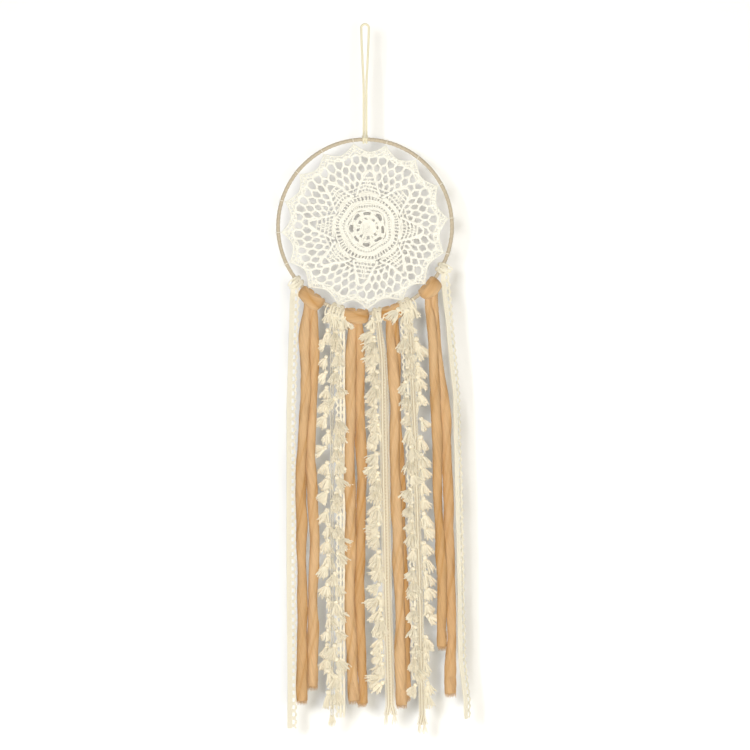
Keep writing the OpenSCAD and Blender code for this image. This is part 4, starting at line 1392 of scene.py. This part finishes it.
# One side of a leaf as radius and angle from its middle, the radius of its point, and its border's distance
LEAF_SIDE = ((37.4, 18.2), (41.6, 14.6), (45.6, 10.9), (49.8, 8.5), (54.2, 5.4), (59.4, 3.0))
LEAF_POINT_R = 63.0
LEAF_BORDER = 1.8
# Rounds at the foot of a leaf, and half of the angle that they cover
LEAF_FEET = (37.8, 39.4)
LEAF_FOOT_SPAN = 17.5
# Rows of chain in a leaf as radius and half of the angle, and how far they run on into its border
LEAF_BARS = ((43.6, 12.5), (47.7, 9.6), (52.0, 6.8), (56.6, 4.2))
LEAF_OVERLAP = 1
# Tall stitches between them: radius, half of the height, and angles
LEAF_POSTS = (
    (41.6, 1.5, (-10, -5, 0, 5, 10)),
    (45.6, 1.6, (-6, -2, 2, 6)),
    (49.8, 1.7, (-3.1, 0, 3.1)),
    (54.2, 1.9, (-1.4, 1.4)),
)
# Two chains from leaf to leaf below the net: radius, and the angles where they start and end
LEAF_LINKS = ((42.9, 15.5, 29.5), (47.2, 11, 34))


def turned(r, a):
    """Angle of a stitch after the crochet is tied in with a turn and a skew, in degrees."""
    return a - 2 + (r / TIP_R) ** 2 * (3.2 * np.sin(np.radians(a)) - 4.5)


def worked(flat, lift=0.0):
    """Puts points of the flat pattern in their place in the hoop."""
    flat = np.asarray(flat, float)
    r = np.hypot(flat[:, 0], flat[:, 1])
    b = np.radians(turned(r, np.degrees(np.arctan2(flat[:, 1], flat[:, 0]))))
    slack = 1 - (r / TIP_R) ** 2
    y = lift + 0.35 * slack * np.sin(0.11 * flat[:, 0] + 0.07 * flat[:, 1])
    pull_x = 3 + UNEVEN * np.sin(0.21 * flat[:, 1] + 1) * np.cos(0.13 * flat[:, 0])
    pull_z = -2 + UNEVEN * np.sin(0.19 * flat[:, 0] + 2) * np.cos(0.15 * flat[:, 1])
    return np.stack([r * np.cos(b) + pull_x * slack, y, HOOP_Z + r * np.sin(b) + pull_z * slack], axis=1)


def polar(r, a):
    """A point, or points, of the flat pattern from radius and angle in degrees."""
    a = np.radians(a)
    return np.stack(np.broadcast_arrays(r * np.cos(a), r * np.sin(a)), axis=-1)


def tip_angle(n):
    """Angle of a scallop's tip, moved between the wraps of a knot that it meets."""
    a = float(turned(TIP_R, (n + 0.5) * 360 / TIPS - 180))
    for strand, (_, wrap, spread) in KNOTS.items():
        knot = math.degrees(knot_angle(strand)) - 90
        if abs(a - knot) < math.degrees((spread + wrap / 2 + 0.75) / HOOP_R):
            return knot
    return a


def scallops(inset):
    """The scalloped edge as a closed path, moved inward."""
    tips = [tip_angle(n) for n in range(TIPS)]
    tips.append(tips[0] + 360)
    steps = np.linspace(0, 1, 24, endpoint=False)
    parts = []
    for start, end in zip(tips[:-1], tips[1:]):
        a = np.radians(start + (end - start) * steps)
        r = TIP_R - SCALLOP_DEPTH + SCALLOP_DEPTH * np.abs(2 * steps - 1) ** 1.8 - inset
        parts.append(np.stack([r * np.cos(a), 0 * r, HOOP_Z + r * np.sin(a)], axis=1))
    return np.vstack(parts)


class DreamCatcherDoily(bpy.types.Operator):
    """Crochets the doily round by round and ties its tips to the hoop"""

    bl_idname = "dream_catcher.doily"
    bl_label = "Doily"

    def execute(self, context):
        colour = colours().cotton
        # Random darker tone of single yarns, and painted shade in the ply grooves
        cotton = yarn_finish("Crochet Cotton", colour, shade_of(colour, 0.75), groove_shade=0.82)
        parts = (("doily_centre", self.centre), ("doily_leaves", self.leaves))
        parts += (("doily_net", self.net), ("doily_edge", self.edge), ("doily_thread_ties", self.lashings))
        for number, (name, work) in enumerate(parts):
            weave = Weave(400 + number)
            work(weave)
            piece = weave.piece(name, cotton)
            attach(piece, "hoop")
            if name == "doily_centre":
                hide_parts("doily")
            if name == "doily_thread_ties":
                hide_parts("doily_lashings")
        return {"FINISHED"}

    def ring(self, weave, r, lift=-0.25, **chain):
        """A closed round of chain."""
        weave.chain(worked(polar(r, np.arange(0, 360, max(90 / r, 1.0))), lift), closed=True, **chain)

    def arc(self, weave, r, start, end, lift=-0.2, **chain):
        """Part of a round of chain."""
        weave.chain(worked(polar(r, np.linspace(start, end, 16)), lift), **chain)

    def spoke(self, weave, start, end, a, **twist):
        """A tall stitch from one round to the next."""
        r = np.linspace(start, end, 6)
        weave.twist(worked(polar(r, a)), **twist)

    def centre(self, weave):
        """The middle rounds, out to the foot of the leaves."""
        for r in CENTRE_ROUNDS:
            self.ring(weave, r, **CENTRE_ROW)
        around = np.arange(0, 360, 1.5)
        arches = CRESCENT_R + CRESCENT_RISE * np.abs(np.cos(np.radians(4 * around))) ** 0.7
        weave.chain(worked(polar(arches, around), -0.25), closed=True, **CENTRE_ROW)
        for p in range(LEAVES):
            a = p * SECTOR
            for turn in (-17, -12, 12, 17):
                self.spoke(weave, 8.8, 12.9, a + 12 + turn, **LEAF_POST)
            for turn in (-6.6, -2.2, 2.2, 6.6):
                self.spoke(weave, 15.6, CRESCENT_R + CRESCENT_RISE, a + SECTOR / 2 + turn, **LEAF_POST)
            for step in range(CENTRE_POSTS):
                self.spoke(weave, 24.4, 27.0, a + step * SECTOR / CENTRE_POSTS, **LEAF_POST)
                self.spoke(weave, 31.4, 35.6, a + (step + 0.5) * SECTOR / CENTRE_POSTS, **WIDE_POST)

    def leaves(self, weave):
        """Eight leaves that narrow row by row, each inside a border of thick chain."""
        one_side = polar(*np.array(LEAF_SIDE).T)
        border = np.vstack([one_side, [(LEAF_POINT_R, 0)], one_side[::-1] * (1, -1)])
        border = curve_through(np.column_stack([border, np.zeros(len(border))]), 1.0)
        border = border + LEAF_BORDER * np.cross(UP, tangents(border, False))
        for p in range(LEAVES):
            a = p * SECTOR
            for r in LEAF_FEET:
                self.arc(weave, r, a - LEAF_FOOT_SPAN, a + LEAF_FOOT_SPAN)
            for r, reach in LEAF_BARS:
                self.arc(weave, r, a - reach - LEAF_OVERLAP, a + reach + LEAF_OVERLAP, **LEAF_ROW)
            for r, half, turns in LEAF_POSTS:
                for turn in turns:
                    self.spoke(weave, r - half, r + half, a + turn, **LEAF_POST)
            for r, start, end in LEAF_LINKS:
                self.arc(weave, r, a + start, a + end)
            self.spoke(weave, LEAF_LINKS[0][0], LEAF_LINKS[1][0], a + SECTOR / 2)
            spin = np.radians(a)
            x = border[:, 0] * math.cos(spin) - border[:, 1] * math.sin(spin)
            y = border[:, 0] * math.sin(spin) + border[:, 1] * math.cos(spin)
            weave.chain(worked(np.stack([x, y], axis=1), -0.2), **NET_CHAIN)

    def net(self, weave):
        """The net of chain loops between the leaves, each round set half a step aside from the last."""
        for p in range(LEAVES):
            middle = (p + 0.5) * SECTOR
            for k, (r, span) in enumerate(zip(NET_ROUNDS, NET_SPANS)):
                bars = NET_STEP * (np.arange(-3, 3) + (0 if k % 2 else 0.5))
                last = k + 1 == len(NET_ROUNDS)
                for a in bars[np.abs(bars) <= span]:
                    r_line = np.linspace(r - NET_BAR[0], EDGE_R if last else r + NET_BAR[1], 6)
                    weave.chain(worked(polar(r_line, middle + a)), **NET_CHAIN)
                if not last:
                    half_steps = np.arange(-6, 7)
                    turns = NET_STEP / 2 * half_steps
                    keep = np.abs(turns) <= span + NET_STEP / 2
                    heights = r + np.where(half_steps % 2 == (k + 1) % 2, *NET_LOOP)
                    flat = polar(heights, middle + turns)[keep]
                    wave = curve_through(np.column_stack([flat, np.zeros(len(flat))]), 0.8)
                    weave.chain(worked(wave[:, :2]), **NET_CHAIN)

    def edge(self, weave):
        """The arches that end the net, and the close scalloped edge that they carry."""
        a = np.arange(0, 360, 0.75)
        arches = EDGE_R + ARCH_RISE * np.abs(np.sin(math.pi * a / NET_STEP))
        weave.chain(worked(polar(arches, a)), closed=True, **NET_CHAIN)
        for inset in EDGE_ROWS:
            weave.chain(scallops(inset), closed=True, **LEAF_ROW)
        inner = scallops(EDGE_ROWS[-1])
        for point in even(scallops(1.2), 3.1, closed=True):
            foot = inner[np.argmin(np.linalg.norm(inner - point, axis=1))]
            weave.twist(np.array([point, foot]) + np.array([0, -0.35, 0]), **EDGE_POST)
        for n in range(TIPS):
            a = math.radians(tip_angle(n))
            out = np.array([math.cos(a), 0, math.sin(a)])
            ends = np.array([0, 0, HOOP_Z]) + np.array([[EDGE_R + 1], [TIP_R - EDGE_ROWS[-1]]]) * out
            weave.chain(ends, **LEAF_ROW)

    def lashings(self, weave):
        """A thread from each tip round the hoop, with its ends knotted."""
        reach = TUBE_R + 0.75
        turn = np.linspace(-math.pi / 2, math.pi / 2, 9)
        for n in range(TIPS):
            a = math.radians(tip_angle(n))
            far = np.stack([HOOP_R + reach * np.cos(turn), reach * np.sin(turn)], axis=1)
            near_r = EYELET_AT + EYELET_R - EYELET_R * np.cos(turn)
            near = np.stack([near_r, -0.9 * np.sin(turn)], axis=1)
            for slant in (-0.3, 0.3):
                loop = np.vstack([far, near, far[:1]])
                along = np.concatenate([np.full(9, slant), np.full(9, -slant), [slant]])
                x = loop[:, 0] * math.cos(a) - along * math.sin(a)
                z = HOOP_Z + loop[:, 0] * math.sin(a) + along * math.cos(a)
                facing = (-math.sin(a), 0.01, math.cos(a))
                weave.twist(np.stack([x, loop[:, 1], z], axis=1), facing=facing, **TIE_THREAD)


# Knots


# Loops of trim that stand out of each knot: how many, and how far along the hoop to each side
LOOPS = {
    "lace_left": (3, 3.4),
    "fringe_1": (6, 9.5),
    "fringe_2": (3, 3.8),
    "fringe_3": (6, 8.5),
    "lace_right": (3, 3.4),
}
# Half of the width of the band across each wool knot
WOOL_BANDS = {"wool_1": 12.0, "wool_2": 12.0, "wool_3": 10.0, "wool_4": 10.0}
# Chains side by side in a wrap, as shares of half its width, and how many cross the front
WRAP_CHAINS = (-1.0, -0.33, 0.33, 1.0)
BAND_CHAINS = 5


def on_hoop(strand, points):
    """Places points given as (along the hoop, depth, outward) at a knot."""
    a = knot_angle(strand)
    along = np.array([math.cos(a), 0, math.sin(a)])
    outward = np.array([math.sin(a), 0, -math.cos(a)])
    middle = np.array([0, 0, HOOP_Z]) + HOOP_R * outward
    points = np.asarray(points, float)
    placed = middle + points[:, :1] * along + points[:, 1:2] * DEPTH + points[:, 2:3] * outward
    return placed, along, outward


class DreamCatcherKnots(bpy.types.Operator):
    """Ties the nine strands to the hoop"""

    bl_idname = "dream_catcher.knots"
    bl_label = "Knots"

    def execute(self, context):
        wool = wool_finish("Wool Roving", colours())
        lace = lace_cotton()
        fringe = fringe_cotton()
        for number, strand in enumerate(KNOTS):
            weave = Weave(500 + number)
            if strand.startswith("wool"):
                self.wool_knot(weave, strand)
                material, slot = wool, "wool_roving"
            else:
                self.trim_knot(weave, strand)
                material, slot = (lace, "cotton_lace") if "lace" in strand else (fringe, "fringe_cotton")
            piece = weave.piece(strand + "_hoop_knot", material)
            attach(piece, "hoop")
            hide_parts(strand + "_knot")
        return {"FINISHED"}

    def wool_knot(self, weave, strand):
        """A smooth wide band across the front, and the two turns of wool that it closes over."""
        half = WOOL_BANDS[strand]
        shape = [(-half + 1.4, 4.0, 1.0), (-half, -0.5, 2.4)]
        shape += [(-0.86 * half, -4.6, 3.6), (-0.45 * half, -7.0, 4.6)]
        shape += [(0, -7.6, 5.0)] + [(-x, y, z) for x, y, z in reversed(shape)]
        path, along, outward = on_hoop(strand, shape)
        path = curve_through(path, 0.5)
        share = np.linspace(-1, 1, len(path))
        radii = 3.4 + 0.6 * (1 - share ** 2)
        weave.roving(path, radii, facing=outward, flat=1.95, creases=6, twist=20.0)
        turn = np.linspace(0, 2 * math.pi, 60, endpoint=False)
        r = TUBE_R + 1.6
        for side in (-1, 1):
            x = side * KNOTS[strand][2] + 0 * turn
            ring = np.stack([x, r * np.cos(turn), r * np.sin(turn)], axis=1)
            path, along, outward = on_hoop(strand, ring)
            path = np.vstack([path, path[:2]])
            weave.roving(path, np.full(len(path), 1.5), facing=along, flat=3.0, creases=1)

    def trim_knot(self, weave, strand):
        """Close chains wound round the hoop, with a band of them across the front. The wraps and the band
        carry painted shade.
        """
        wrap, spread = KNOTS[strand][1:]
        r = wrap_radius(strand)
        turn = np.linspace(0, 2 * math.pi, 40, endpoint=False)
        for side in (-1, 1):
            for step in WRAP_CHAINS:
                out = r + 0.5 - 0.35 * abs(step) * wrap / 2 + 0.3 * np.sin(3 * turn + 2 * step)
                x = side * spread + step * (wrap / 2 - 0.3) + 0.4 * np.sin(turn + step)
                ring = np.stack([x, out * np.cos(turn), out * np.sin(turn)], axis=1)
                path, along, outward = on_hoop(strand, ring)
                # The wraps take painted shade
                weave.chain(path, closed=True, facing=along, sides=4, tone_and_shade=0.5)
        half = spread + wrap / 2 + 0.6
        for step in np.linspace(-1, 1, BAND_CHAINS):
            rise = step * 0.95 * wrap
            bow = 1.2 * math.cos(step)
            shape = [(-half, -1.0, rise * 0.7), (-0.75 * half, -r - 0.6, rise * 0.9)]
            shape += [(0, -r - wrap / 2 - bow, rise + weave.rng.normal(0, 0.3))]
            shape += [(0.75 * half, -r - 0.6, rise * 0.9), (half, -1.0, rise * 0.7)]
            path, along, outward = on_hoop(strand, shape)
            # The band takes a little painted shade
            weave.chain(curve_through(path, 0.5), width=0.55, yarn=0.45, facing=outward, tone_and_shade=0.2)
        count, reach = LOOPS[strand]
        for middle in np.linspace(-reach, reach, count):
            drop = weave.rng.uniform(7, 12)
            wide = weave.rng.uniform(1.9, 2.7)
            front = -r - wrap / 2
            shape = [(middle - 0.7 * wide, front + 0.5, -1.5), (middle - wide, front - 1.6, 0.45 * drop)]
            shape += [(middle + weave.rng.normal(0, 0.5), front - 1.2, drop)]
            shape += [(middle + wide, front - 1.0, 0.45 * drop), (middle + 0.7 * wide, front + 0.8, -1.5)]
            path, along, outward = on_hoop(strand, shape)
            weave.chain(curve_through(path, 0.5), width=0.5, yarn=0.42)


# Panel and registration


OPERATORS = (
    DreamCatcherStage, DreamCatcherHanger, DreamCatcherWool, DreamCatcherLace, DreamCatcherFringe,
    DreamCatcherHoop, DreamCatcherDoily, DreamCatcherKnots,
)


class DreamCatcherPanel(bpy.types.Panel):
    """Lists the settings and the steps"""

    bl_idname = "VIEW3D_PT_dream_catcher"
    bl_label = "Dream Catcher"
    bl_space_type = "VIEW_3D"
    bl_region_type = "UI"
    bl_category = "Dream Catcher"

    def draw(self, context):
        layout = self.layout
        for group, kind in (
            (context.scene.dream_catcher_sizes, DreamCatcherSizes),
            (context.scene.dream_catcher_colours, DreamCatcherColours),
        ):
            box = layout.box()
            for name in kind.__annotations__:
                box.prop(group, name)
        for operator in OPERATORS:
            layout.operator(operator.bl_idname)


CLASSES = (DreamCatcherSizes, DreamCatcherColours) + OPERATORS + (DreamCatcherPanel,)


def register():
    """Registers the settings, the steps and the panel."""
    for kind in CLASSES:
        bpy.utils.register_class(kind)
    bpy.types.Scene.dream_catcher_sizes = bpy.props.PointerProperty(type=DreamCatcherSizes)
    bpy.types.Scene.dream_catcher_colours = bpy.props.PointerProperty(type=DreamCatcherColours)


def unregister():
    """Removes what register added."""
    del bpy.types.Scene.dream_catcher_colours
    del bpy.types.Scene.dream_catcher_sizes
    for kind in reversed(CLASSES):
        bpy.utils.unregister_class(kind)


def main():
    """Builds the dream catcher."""
    register()
    bpy.ops.dream_catcher.stage()
    bpy.ops.dream_catcher.hanger()
    bpy.ops.dream_catcher.wool()
    bpy.ops.dream_catcher.lace()
    bpy.ops.dream_catcher.fringe()
    bpy.ops.dream_catcher.hoop()
    bpy.ops.dream_catcher.doily()
    bpy.ops.dream_catcher.knots()


if __name__ == "__main__":
    main()
